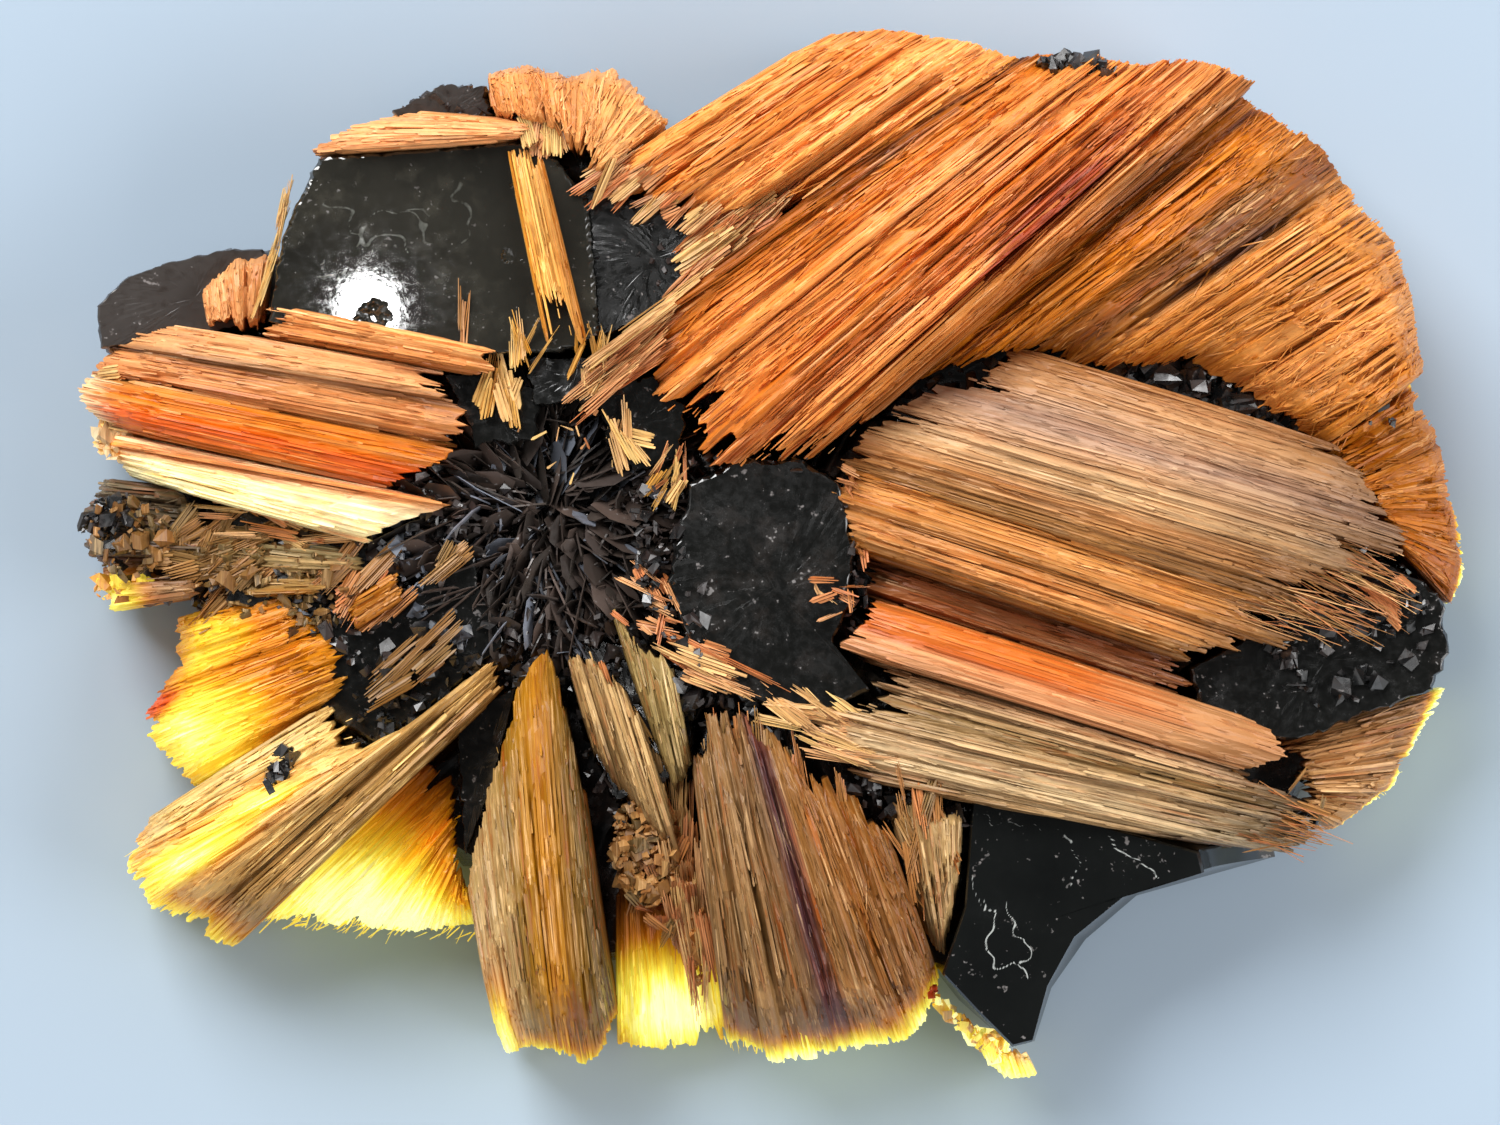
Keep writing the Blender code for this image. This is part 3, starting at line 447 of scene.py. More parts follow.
def growSheaf(name, sheaf):
    # fused body, long needles, short splinters and fuzz on top, needles down both sides, packed ends at the tip
    rng = np.random.RandomState(sheaf["seed"])
    heap = Heap("look", "light", "fibre")
    root, tip, width = strandEnds(sheaf, np.array([0.5]))
    length = float(np.linalg.norm(tip - root))
    addBody(heap, sheaf, rng, width, length)
    fine = sheaf.get("fine", 0.12)
    depth = float(np.interp(0.5, sheafStations, sheaf["top"])) - sum(sheaf["bed"]) / 2
    share = sheaf.get("density", 1.0)

    def clipped(across, start, end, spare=0.25):
        # keeps needles within the broken ends of their rods, give or take a little
        first, last = strandSpan(sheaf, across, length)
        first = first + rng.uniform(-0.3, 1.0, len(across)) * spare / length
        last = last + rng.uniform(-1.0, 0.5, len(across)) * spare / length
        end = np.minimum(end, np.minimum(last, 1.0))
        return np.clip(start, np.maximum(first, 0), end - 0.4 / length), end

    count = int(share * 1.6 * width / fine)
    across = rng.uniform(0, 1, count)
    whole = rng.rand(count) < 0.4
    start = np.where(whole, 0, rng.uniform(0, 0.7, count))
    end = np.where(whole, 1, start + rng.uniform(0.2, 0.6, count))
    start, end = clipped(across, start, end)
    addNeedles(heap, sheaf, rng, across, start, end, np.ones(count), fine * rng.uniform(0.6, 1.8, count), 7,
               rng.uniform(-0.03, 0.06, (2, count)), rng.normal(0, 0.01, count))

    count = int(share * sheaf.get("splinters", 1.0) * width * length / fine * 0.38)
    across = rng.uniform(0, 1, count)
    start = rng.uniform(-0.02, 0.98, count)
    start, end = clipped(across, start, start + rng.gamma(2.0, 0.07, count) + 1.0 / length)
    lift = rng.uniform(-0.04, 0.08, (2, count))
    lift[1] += np.where(rng.rand(count) < sheaf.get("frayed", 0.05), rng.uniform(0.1, 0.5, count), 0)
    addNeedles(heap, sheaf, rng, across, start, end, np.ones(count), fine * rng.uniform(0.35, 1.2, count), 4, lift,
               rng.normal(0, sheaf.get("stray", 0.05), count))

    count = int(share * sheaf.get("fuzz", 2.5) * width * length)
    across = rng.uniform(0, 1, count)
    start = rng.uniform(0, 0.97, count)
    start, end = clipped(across, start, start + rng.gamma(2.0, 0.45, count) / length)
    lift = rng.uniform(0.0, 0.1, (2, count))
    lift[1] += rng.uniform(0, 0.22, count) * (rng.rand(count) < 0.5)
    addNeedles(heap, sheaf, rng, across, start, end, np.ones(count), fine * rng.uniform(0.25, 0.75, count), 3, lift,
               rng.normal(0, 0.25, count))

    count = int(share * 1.35 * depth / fine)
    for edge in (0.0, 1.0):
        across = np.abs(edge - rng.uniform(0, 0.02, count))
        start = rng.uniform(0, 0.6, count)
        start, end = clipped(across, start, start + rng.uniform(0.2, 0.8, count))
        addNeedles(heap, sheaf, rng, across, start, end, rng.uniform(0.04, 0.97, count),
                   fine * rng.uniform(1.0, 2.4, count), 4, np.zeros((2, count)))

    count = int(share * 0.5 * width * depth / fine ** 2 * sheaf.get("ends", 0.1))
    across = rng.uniform(0, 1, count)
    end = np.ones(count)
    start, end = clipped(across, end - rng.uniform(1.0, 2.4, count) / length, end, 0.6)
    addNeedles(heap, sheaf, rng, across, start, end, rng.uniform(0.03, 1, count),
               fine * rng.uniform(0.9, 2.2, count), 4, np.zeros((2, count)))
    return heap.make("needles_" + name, rutileFinish("rutile_" + name, sheaf), ("rutile_" + name,))


sheaves = {}

sheaves["sheaf_upper_right_front"] = {
    "lines": [((-6.5, 8.4), (10.4, 19.95)), ((-5.0, 6.9), (12.2, 20.1)), ((-3.4, 5.6), (14.2, 19.8)),
        ((-3.1, 3.6), (16.0, 19.9)), ((-0.6, 3.8), (17.6, 19.7)), ((1.9, 4.3), (18.8, 19.1))],
    "top": (7.8, 10.2, 12.6, 12.1, 8.8), "bed": (4.4, 1.5), "crown": 0.9, "seed": 1, "slot": "rutile_orange",
    # the first two band stops, dark, are a painted shadow line along the edge under the top sheaf
    "bands": [(0, (104, 56, 26)), (0.03, (150, 85, 40)), (0.09, (208, 128, 66)), (0.3, (225, 150, 90)),
        (0.5, (215, 135, 75)), (0.62, (185, 105, 60)), (0.75, (222, 150, 92)), (0.9, (200, 130, 75)),
        (1, (150, 95, 55))],
    "rods": 15, "ragged": 0.22, "rootRagged": 2.6, "spare": (0.45, 0.35),
    # of the stain spots, the first two are a red patch and the third is a painted shadow line
    "shadeAndStainSpots": [(0.64, 0.76, 0.12, 0.1, 1.6), (0.8, 0.7, 0.06, 0.06, 0.9), (0.5, 0.81, 0.2, 0.02, 1.3),
        (0.48, 0.52, 0.14, 0.12, 0.45)], "shadeAndStain": (150, 60, 26), "fuzz": 4, "bright": 1.2, "rich": 1.08,
    "blunt": (0.45, 0.05),
}
sheaves["sheaf_upper_right_back"] = {
    "lines": [((5.9, 7.2), (19.5, 18.55)), ((10.6, 8.6), (21.7, 16.6)), ((13.6, 7.8), (23.2, 14.4)),
        ((17.0, 8.2), (24.8, 12.8)), ((19.4, 6.9), (25.4, 10.7)), ((22.0, 5.2), (25.7, 7.95))],
    "top": (7.4, 9.6, 11.4, 10.7, 7.2), "bed": (4.4, 1.3), "crown": 0.8, "seed": 2, "slot": "rutile_orange",
    # the first band stop, dark, is a painted shadow line along the edge by the front sheaf
    "bands": [(0, (110, 62, 30)), (0.06, (190, 116, 62)), (0.2, (205, 130, 70)), (0.35, (120, 70, 35)),
        (0.45, (215, 150, 95)), (0.6, (205, 140, 85)), (0.8, (225, 160, 105)), (1, (200, 135, 80))],
    "rods": 14, "ragged": 0.15, "rootRagged": 0.6, "spare": (1.0, 0.5), "reach": (0.6, 0.15), "fuzz": 5,
    # its stain spot, in the dark stain colour, is a painted shadow line
    "rich": 1.13, "bright": 1.06, "blunt": (0.35, 0.04), "shadeAndStainSpots": [(0.55, 0.4, 0.3, 0.02, 1.2)],
    "shadeAndStain": (84, 44, 20),
}
sheaves["sheaf_upper_right_top"] = {
    "lines": [((-6.2, 15.7), (2.4, 21.0)), ((-5.6, 14.9), (4.2, 21.2)), ((-3.4, 14.2), (6.2, 20.9)),
        ((-1.2, 14.0), (8.0, 20.6)), ((1.0, 14.1), (9.5, 19.95))],
    "top": (8.6, 10.0, 11.2, 10.8, 8.0), "bed": (4.5, 1.7), "crown": 0.7, "seed": 3, "slot": "rutile_amber",
    "bands": [(0, (225, 160, 95)), (0.3, (205, 130, 70)), (0.6, (230, 165, 100)), (1, (190, 120, 60))],
    "rods": 10, "ragged": 0.2, "rootRagged": 2.0, "spare": (0.2, 0.4), "fuzz": 5, "bright": 1.4,
    "reach": (0.8, 0.1), "rich": 1.07, "blunt": (0.4, 0.05),
}
sheaves["tuft_top"] = {
    "lines": [((-10.9, 17.7), (-11.2, 19.5)), ((-9.2, 17.4), (-9.8, 19.8)), ((-8.2, 16.6), (-8.4, 19.4)),
        ((-7.6, 16.0), (-6.6, 19.8)), ((-7.3, 15.4), (-4.3, 18.0))],
    "top": (9.0, 10.2, 10.2, 9.4, 6.9), "bed": (4.5, 2.0), "crown": 0.5, "seed": 4, "slot": "rutile_straw",
    "bands": [(0, (222, 152, 92)), (0.5, (200, 134, 78)), (1, (228, 172, 108))],
    "rods": 7, "ragged": 0.25, "fine": 0.14, "bright": 1.25, "rich": 1.05, "relief": 0.3, "fuzz": 12,
    "stray": 0.3,
}
sheaves["rim_upper_left"] = {
    "lines": [((-9.8, 17.25), (-15.0, 17.8)), ((-9.7, 17.1), (-17.0, 17.3)), ((-9.8, 16.9), (-18.7, 16.3))],
    "top": (9.4, 10.0, 10.2, 9.7, 8.2), "bed": (4.5, 3.0), "crown": 0.05, "seed": 5, "slot": "rutile_straw",
    "bands": [(0, (215, 150, 90)), (0.5, (235, 175, 115)), (1, (205, 140, 85))],
    "rods": 3, "fine": 0.13, "bright": 1.3, "rich": 1.0, "relief": 0.4,
}
sheaves["collar_left"] = {
    "lines": [((-22.4, 9.5), (-22.7, 11.0)), ((-21.4, 9.3), (-21.7, 12.0)), ((-20.8, 9.5), (-20.4, 12.3))],
    "top": (7.8, 8.6, 8.6, 8.2, 6.8), "bed": (4.5, 2.8), "crown": 0.0, "seed": 6, "slot": "rutile_straw",
    "bands": [(0, (225, 165, 110)), (1, (190, 130, 80))],
    "rods": 8, "fine": 0.12, "ragged": 0.2, "bright": 1.2, "rich": 1.05, "relief": 0.5, "fuzz": 6,
}
sheaves["sheaf_left_upper"] = {
    "lines": [((-13.4, 7.3), (-25.0, 9.3)), ((-12.6, 6.5), (-26.2, 8.7)), ((-12.3, 5.5), (-27.2, 8.2)),
        ((-12.9, 4.9), (-27.5, 7.75))],
    "top": (8.2, 9.4, 9.9, 9.0, 6.2), "bed": (4.5, 2.5), "crown": 0.6, "seed": 7, "slot": "rutile_amber",
    "bands": [(0, (236, 172, 116)), (0.3, (234, 170, 112)), (0.44, (130, 82, 46)), (0.54, (222, 150, 92)),
        (0.8, (228, 152, 92)), (1, (190, 124, 70))],
    "rods": 7, "ragged": 0.6, "relief": 0.5, "bright": 0.97, "rich": 1.03, "rootRagged": 1.2, "wander": 0.1,
    "splinters": 0.6, "fuzz": 1.5, "grooveShade": 0.6,
}
sheaves["blade_left_orange"] = {
    "lines": [((-13.0, 4.4), (-27.8, 7.3)), ((-13.6, 3.9), (-28.0, 6.8)), ((-14.9, 3.3), (-27.7, 6.1)),
        ((-15.6, 3.15), (-26.9, 5.65))],
    "top": (7.8, 8.9, 9.6, 9.2, 6.4), "bed": (4.5, 1.9), "crown": 0.5, "seed": 8, "slot": "rutile_orange",
    "bands": [(0, (232, 168, 110)), (0.2, (226, 130, 66)), (0.4, (236, 156, 98)), (0.6, (228, 98, 38)),
        (0.8, (222, 104, 48)), (1, (190, 110, 60))],
    "rods": 5, "ragged": 0.3, "relief": 0.45, "fuzz": 0.8, "rich": 1.12, "tip": (252, 226, 176), "tipFrom": 0.9,
    "tipTo": 1.0, "tipShare": 0.8, "flecks": 0.25, "splinters": 0.5, "grooveShade": 0.6, "bright": 0.96,
}
sheaves["sheaf_left_lower"] = {
    "lines": [((-15.6, 2.75), (-27.3, 5.25)), ((-13.0, 2.2), (-27.4, 4.8)), ((-15.2, 1.5), (-26.7, 4.2)),
        ((-16.1, 0.9), (-26.0, 3.7))],
    "top": (7.0, 8.0, 8.6, 8.0, 5.4), "bed": (4.5, 2.1), "crown": 0.6, "seed": 9, "slot": "rutile_straw",
    "bands": [(0, (232, 200, 150)), (0.22, (240, 210, 156)), (0.38, (214, 138, 70)), (0.52, (172, 116, 62)),
        (0.66, (228, 206, 158)), (1, (200, 190, 140))],
    "rods": 6, "ragged": 0.5, "bright": 1.8, "rich": 0.98, "glow": [(1.0, 0.2, 0.06, 0.5, 0.8)], "wander": 0.1,
    "splinters": 0.6, "fuzz": 1.2, "grooveShade": 0.6,
}
sheaves["blade_plate_edge"] = {
    "lines": [((-10.8, 8.05), (-20.3, 9.95)), ((-11.4, 7.6), (-20.4, 9.2))],
    "top": (9.3, 9.8, 10.0, 9.8, 9.0), "bed": (7.8, 7.2), "crown": 0.1, "seed": 10, "slot": "rutile_amber",
    "bands": [(0, (230, 165, 105)), (1, (180, 115, 65))],
    "rods": 3, "fine": 0.12, "bright": 1.25, "rich": 1.05, "relief": 0.4, "ragged": 0.6, "rootRagged": 0.9,
    "stray": 0.05, "fuzz": 5,
}
sheaves["needles_on_plate"] = {
    "lines": [((-9.0, 8.3), (-10.6, 16.2)), ((-8.2, 8.5), (-9.9, 16.3)), ((-7.5, 8.6), (-9.3, 16.0))],
    "top": (9.6, 10.2, 10.4, 10.2, 9.7), "bed": (8.8, 8.9), "crown": 0.1, "seed": 11, "slot": "rutile_golden",
    "bands": [(0, (235, 170, 80)), (0.5, (245, 200, 120)), (1, (200, 130, 60))],
    "rods": 6, "fine": 0.08, "ragged": 1.2, "spare": (0.0, 0.0), "bright": 1.15, "rich": 1.05, "relief": 0.5,
    "rootRagged": 3.0,
}
sheaves["sheaf_lower_left_inner"] = {
    "lines": [((-17.7, -5.95), (-25.5, -10.9)), ((-16.2, -7.5), (-26.3, -12.5)),
        ((-13.3, -5.8), (-25.5, -14.0)), ((-11.2, -3.9), (-23.7, -15.0)), ((-11.1, -5.0), (-22.2, -15.5))],
    "top": (7.2, 8.6, 9.0, 7.6, 4.2), "bed": (4.5, 1.0), "crown": 0.6, "seed": 12, "slot": "rutile_olive",
    "bands": [(0, (168, 140, 84)), (0.25, (190, 158, 92)), (0.5, (160, 126, 68)), (0.75, (146, 112, 60)),
        (1, (118, 88, 44))],
    "rods": 11, "ragged": 0.7, "glow": [(0.45, 0.3, 0.18, 0.12, 0.9), (0.8, 0.4, 0.24, 0.16, 1.0),
        (1.03, 0.6, 0.1, 0.5, 1.0)], "bright": 2.1, "rich": 1.0, "rootRagged": 1.4, "deep": (150, 102, 52),
    "pale": (246, 216, 142),
}
sheaves["sheaf_lower_left_outer"] = {
    "lines": [((-19.6, -1.5), (-24.4, -2.7)), ((-18.6, -2.3), (-24.2, -4.3)), ((-17.6, -3.3), (-26.0, -6.4)),
        ((-17.2, -4.5), (-25.0, -7.7)), ((-17.7, -5.4), (-23.8, -9.0))],
    "top": (5.8, 6.8, 6.8, 5.6, 3.0), "bed": (4.4, 0.9), "crown": 0.4, "seed": 13, "slot": "rutile_golden",
    "bands": [(0, (190, 130, 70)), (0.5, (200, 130, 60)), (1, (190, 140, 70))],
    "rods": 8, "ragged": 0.8, "glow": [(0.8, 0.75, 0.4, 0.4, 0.9), (0.7, 0.2, 0.4, 0.3, 0.6)],
    "shadeAndStainSpots": [(0.98, 0.5, 0.2, 0.09, 1.3)], "shadeAndStain": (206, 78, 20), "bright": 1.25, "rich": 1.1,
    "deep": (176, 112, 48),
}
sheaves["sheaf_lower_left_under"] = {
    "lines": [((-13.4, -7.9), (-20.8, -14.8)), ((-13.0, -9.3), (-18.6, -14.8)),
        ((-12.9, -10.9), (-15.8, -15.1)), ((-12.8, -12.4), (-13.8, -15.2)), ((-12.7, -13.4), (-12.4, -14.7))],
    "top": (5.4, 6.4, 6.2, 4.8, 2.2), "bed": (4.4, 0.8), "crown": 0.3, "seed": 14, "slot": "rutile_golden",
    "bands": [(0, (200, 120, 40)), (0.5, (230, 160, 60)), (1, (220, 170, 70))],
    "rods": 9, "ragged": 0.5, "glow": [(0.85, 0.45, 0.5, 0.7, 1.25)],
}
sheaves["blade_lower_middle"] = {
    "lines": [((-12.2, -12.6), (-10.8, -19.7)), ((-11.5, -8.7), (-10.0, -19.6)), ((-10.4, -5.4), (-9.0, -19.8)),
        ((-9.2, -3.4), (-7.8, -20.4)), ((-8.6, -4.9), (-7.1, -20.1)), ((-7.8, -9.3), (-6.6, -18.1))],
    "top": (7.2, 9.6, 11.0, 9.2, 4.6), "bed": (4.5, 0.9), "crown": 1.0, "seed": 15, "slot": "rutile_olive",
    "bands": [(0, (196, 166, 120)), (0.3, (190, 158, 108)), (0.42, (146, 112, 56)), (0.52, (176, 124, 44)),
        (0.62, (196, 132, 44)), (0.72, (150, 104, 36)), (0.85, (118, 90, 42)), (1, (92, 68, 34))],
    "rods": 9, "ragged": 0.2, "glow": [(1.0, 0.05, 0.35, 0.16, 1.0), (1.03, 0.5, 0.06, 0.6, 1.0)],
    "relief": 0.35, "rich": 1.1, "bright": 0.86, "wander": 0.1, "patches": 0.3, "flecks": 0.2, "streaks": 1.25,
    "splinters": 0.5, "fuzz": 0.8, "grooveShade": 0.6,
}
sheaves["blade_lower_short"] = {
    "lines": [((-8.1, -4.1), (-6.9, -8.4)), ((-7.2, -3.9), (-5.0, -10.9)), ((-5.8, -5.6), (-3.8, -12.2))],
    "top": (7.2, 8.4, 8.6, 7.6, 5.6), "bed": (4.5, 4.4), "crown": 0.4, "seed": 16, "slot": "rutile_straw",
    "bands": [(0, (170, 135, 85)), (1, (200, 165, 110))],
    "rods": 5, "ragged": 0.5, "rich": 1.02, "bright": 1.1, "rootRagged": 0.9,
}
sheaves["blade_lower_pointed"] = {
    "lines": [((-6.4, -2.2), (-4.8, -7.1)), ((-5.4, -3.3), (-3.95, -9.4)), ((-4.4, -4.1), (-3.6, -8.5))],
    "top": (7.4, 8.4, 8.6, 8.0, 6.4), "bed": (4.5, 4.4), "crown": 0.4, "seed": 17, "slot": "rutile_olive",
    "bands": [(0, (150, 125, 70)), (1, (175, 150, 95))],
    "rods": 4, "ragged": 0.5, "rich": 1.02, "rootRagged": 0.9,
}
sheaves["sheaf_lower_centre"] = {
    "lines": [((-3.1, -7.3), (-1.6, -19.6)), ((-2.6, -6.2), (0.0, -20.3)), ((-1.3, -6.2), (2.3, -20.1)),
        ((-0.2, -6.9), (3.9, -19.6)), ((1.1, -8.1), (5.4, -19.4)), ((3.0, -9.4), (6.1, -18.6)),
        ((4.0, -10.3), (6.4, -17.2))],
    "top": (7.4, 9.2, 10.0, 8.6, 4.2), "bed": (4.5, 0.9), "crown": 0.8, "seed": 18, "slot": "rutile_olive",
    "bands": [(0, (150, 114, 74)), (0.2, (158, 120, 78)), (0.36, (128, 92, 58)), (0.42, (86, 50, 54)),
        (0.47, (104, 62, 52)), (0.52, (158, 112, 66)), (0.75, (158, 104, 56)), (1, (132, 88, 46))],
    "rods": 13, "ragged": 0.5, "glow": [(1.02, 0.3, 0.075, 0.7, 1.15), (1.0, 0.85, 0.1, 0.2, 1.0)],
    "rich": 1.08, "rootRagged": 1.5, "wander": 0.08, "bright": 0.89,
}
sheaves["slab_lower_gap"] = {
    "lines": [((-6.1, -13.0), (-6.1, -19.8)), ((-5.0, -13.2), (-4.4, -20.0)), ((-3.1, -13.0), (-2.2, -19.6))],
    "top": (5.6, 5.4, 4.8, 3.6, 2.0), "bed": (2.2, 0.7), "crown": 0.1, "seed": 19, "slot": "rutile_golden",
    "bands": [(0, (150, 90, 40)), (1, (170, 110, 50))],
    "rods": 6, "ragged": 0.7, "glow": [(0.75, 0.5, 0.35, 0.7, 1.2)],
}
sheaves["tuft_lower_right"] = {
    "lines": [((4.8, -9.8), (6.5, -15.4)), ((6.0, -10.0), (6.8, -15.9)), ((7.3, -10.4), (7.1, -13.7))],
    "top": (7.4, 8.4, 8.6, 7.8, 6.0), "bed": (4.5, 4.3), "crown": 0.3, "seed": 20, "slot": "rutile_straw",
    "bands": [(0, (165, 130, 80)), (1, (190, 155, 100))],
    "rods": 4, "ragged": 0.8, "rich": 1.0,
}
sheaves["sheaf_right_upper"] = {
    "lines": [((9.2, 8.3), (22.8, 4.1)), ((7.0, 7.0), (24.4, 1.8)), ((4.8, 6.0), (24.0, 0.5)),
        ((3.7, 4.9), (22.4, -0.7)), ((3.1, 3.9), (21.1, -1.6))],
    "top": (7.6, 9.6, 10.8, 9.8, 6.9), "bed": (4.5, 3.4), "crown": 0.8, "seed": 21, "slot": "rutile_straw",
    "bands": [(0, (180, 128, 84)), (0.15, (200, 154, 112)), (0.35, (178, 144, 122)), (0.5, (202, 160, 122)),
        (0.65, (216, 178, 134)), (0.8, (200, 146, 98)), (1, (150, 105, 60))],
    "rods": 13, "ragged": 3.2, "rootRagged": 1.5, "spare": (0.35, 0.45), "reach": (0.4, 1.2), "relief": 0.4,
    "fuzz": 2.0, "rich": 1.08, "tip": (112, 72, 34), "tipFrom": 0.55, "tipTo": 1.1, "tipShare": 0.9,
    "flecks": 0.35, "streaks": 0.6, "grooveShade": 0.72, "deepShare": 0.35, "fine": 0.1, "pale": (244, 208, 166),
}
sheaves["sheaf_right_middle"] = {
    "lines": [((2.6, 3.6), (21.1, -2.15)), ((2.4, 2.4), (19.9, -3.3)), ((3.2, 0.7), (17.6, -4.1))],
    "top": (7.4, 9.2, 10.1, 9.2, 6.4), "bed": (4.5, 3.8), "crown": 0.7, "seed": 22, "slot": "rutile_amber",
    "bands": [(0, (190, 130, 80)), (0.3, (220, 160, 105)), (0.5, (180, 125, 80)), (0.7, (220, 160, 110)),
        (1, (130, 85, 45))],
    "rods": 8, "ragged": 3.0, "rootRagged": 0.7, "reach": (0.4, 1.0), "spare": (0.4, 0.3), "rich": 1.12,
    "tip": (110, 80, 44), "tipFrom": 0.7, "tipTo": 1.0, "tipShare": 0.7, "grooveShade": 0.55,
}
sheaves["strip_right_recess"] = {
    "lines": [((3.7, 0.0), (17.4, -4.6)), ((3.8, -1.2), (16.2, -5.25))],
    "top": (6.2, 7.4, 7.6, 7.2, 6.2), "bed": (4.5, 4.2), "crown": 0.2, "seed": 23, "slot": "rutile_amber",
    "bands": [(0, (130, 70, 34)), (1, (170, 104, 54))],
    "rods": 4, "ragged": 1.4, "rich": 1.0,
}
sheaves["prism_right_orange"] = {
    "lines": [((3.8, -1.8), (19.8, -6.9)), ((3.4, -2.6), (20.6, -7.9)), ((2.9, -3.4), (19.0, -8.3))],
    "top": (9.2, 10.0, 10.2, 9.2, 6.9), "bed": (4.5, 4.0), "crown": 0.1, "seed": 24, "slot": "rutile_orange",
    "bands": [(0, (212, 124, 66)), (0.25, (216, 120, 58)), (0.45, (200, 104, 52)), (0.58, (226, 156, 106)),
        (0.8, (206, 146, 102)), (1, (180, 124, 84))],
    "rods": 3, "ragged": 0.3, "relief": 0.06, "rich": 1.05, "fuzz": 0, "tip": (190, 136, 86), "tipFrom": 0.5,
    "tipTo": 0.8, "tipShare": 0.85, "rootRagged": 0.5, "flecks": 0.15, "patches": 0.3, "streaks": 0.8,
    "splinters": 0.3, "grooveShade": 0.65,
}
sheaves["sheaf_right_lower"] = {
    "lines": [((3.9, -4.2), (19.4, -8.9)), ((4.4, -5.4), (21.3, -9.9)), ((1.6, -6.4), (21.5, -10.9)),
        ((1.4, -7.3), (20.4, -11.8)), ((3.5, -8.7), (17.0, -11.2))],
    "top": (7.2, 8.8, 9.6, 8.6, 5.4), "bed": (4.5, 3.0), "crown": 0.6, "seed": 25, "slot": "rutile_straw",
    "bands": [(0, (176, 130, 88)), (0.2, (206, 166, 120)), (0.4, (150, 118, 72)), (0.6, (200, 164, 118)),
        (0.8, (220, 190, 144)), (1, (140, 104, 62))],
    "rods": 11, "ragged": 3.0, "rootRagged": 1.6, "reach": (0.4, 0.6), "spare": (0.35, 0.2), "rich": 1.02,
    "tip": (62, 46, 30), "tipFrom": 0.72, "tipTo": 1.0, "tipShare": 0.85, "streaks": 0.8,
}
sheaves["mass_right_edge"] = {
    "lines": [((22.4, 4.9), (26.1, 7.4)), ((23.9, 3.8), (26.8, 5.3)), ((25.1, 2.1), (27.6, 2.1)),
        ((25.5, 0.8), (28.0, -0.3)), ((25.8, 0.1), (27.6, -1.7))],
    "top": (6.8, 7.8, 7.6, 6.8, 4.6), "bed": (3.2, 1.1), "crown": 0.2, "seed": 26, "slot": "rutile_amber",
    "bands": [(0, (205, 135, 75)), (1, (160, 95, 50))],
    "rods": 8, "ragged": 0.4, "reach": (1.4, 0.0), "spare": (0.8, 0.3), "glow": [(1.0, 0.0, 0.08, 0.2, 1.0),
        (1.0, 0.95, 0.07, 0.3, 1.1)], "fuzz": 6,
}
sheaves["mass_lower_right"] = {
    "lines": [((20.9, -7.3), (27.3, -5.5)), ((21.7, -8.3), (26.2, -7.6)), ((22.2, -9.4), (24.9, -9.5)),
        ((22.2, -10.3), (22.9, -10.8))],
    "top": (5.8, 6.6, 6.6, 5.8, 3.6), "bed": (3.0, 1.1), "crown": 0.2, "seed": 27, "slot": "rutile_straw",
    "bands": [(0, (170, 120, 74)), (1, (196, 150, 100))],
    "rods": 6, "ragged": 0.4, "reach": (0.8, 0.0), "glow": [(1.0, 0.35, 0.08, 0.7, 1.3)], "rich": 1.05,
    "bright": 0.9,
}
sheaves["knob_left"] = {
    "lines": [((-23.8, 2.6), (-27.4, 3.0)), ((-22.8, 1.5), (-28.1, 1.9)), ((-22.6, 0.0), (-28.0, 0.1)),
        ((-23.4, -1.2), (-27.2, -1.8))],
    "top": (5.6, 6.6, 6.4, 5.6, 3.6), "bed": (3.0, 1.0), "crown": 0.4, "seed": 28, "slot": "rutile_golden",
    "bands": [(0, (110, 92, 60)), (0.5, (84, 66, 44)), (1, (150, 100, 50))],
    "rods": 6, "ragged": 0.7, "glow": [(0.8, 0.95, 0.3, 0.2, 0.8)], "rich": 0.95, "relief": 1.2,
}
sheaves["blade_left_broken_upper"] = {
    "lines": [((-16.8, 0.1), (-21.8, 0.9)), ((-16.6, -0.6), (-22.0, -0.6)), ((-18.2, -1.2), (-21.6, -1.4))],
    "top": (6.4, 7.2, 7.3, 6.9, 5.6), "bed": (4.4, 4.3), "crown": 0.2, "seed": 29, "slot": "rutile_olive",
    "bands": [(0, (150, 135, 100)), (1, (170, 130, 80))],
    "rods": 4, "ragged": 0.7,
}
sheaves["blade_left_broken_lower"] = {
    "lines": [((-14.8, -0.6), (-17.4, -2.1)), ((-14.9, -1.4), (-17.0, -2.8))],
    "top": (6.8, 7.6, 7.6, 7.2, 6.4), "bed": (5.7, 5.5), "crown": 0.1, "seed": 30, "slot": "rutile_amber",
    "bands": [(0, (200, 140, 80)), (1, (160, 105, 60))],
    "rods": 2, "ragged": 0.4,
}
sheaves["knob_lower_tip"] = {
    "lines": [((7.9, -18.8), (8.5, -20.1)), ((9.0, -19.7), (9.4, -21.1)), ((10.0, -20.2), (10.4, -21.0))],
    "top": (3.6, 4.2, 4.2, 3.8, 2.6), "bed": (1.2, 1.1), "crown": 0.1, "seed": 31, "slot": "rutile_golden",
    "bands": [(0, (230, 200, 130)), (1, (250, 235, 180))],
    "rods": 3, "ragged": 0.1, "glow": [(0.9, 0.5, 0.7, 0.8, 1.0)], "bright": 1.2,
}


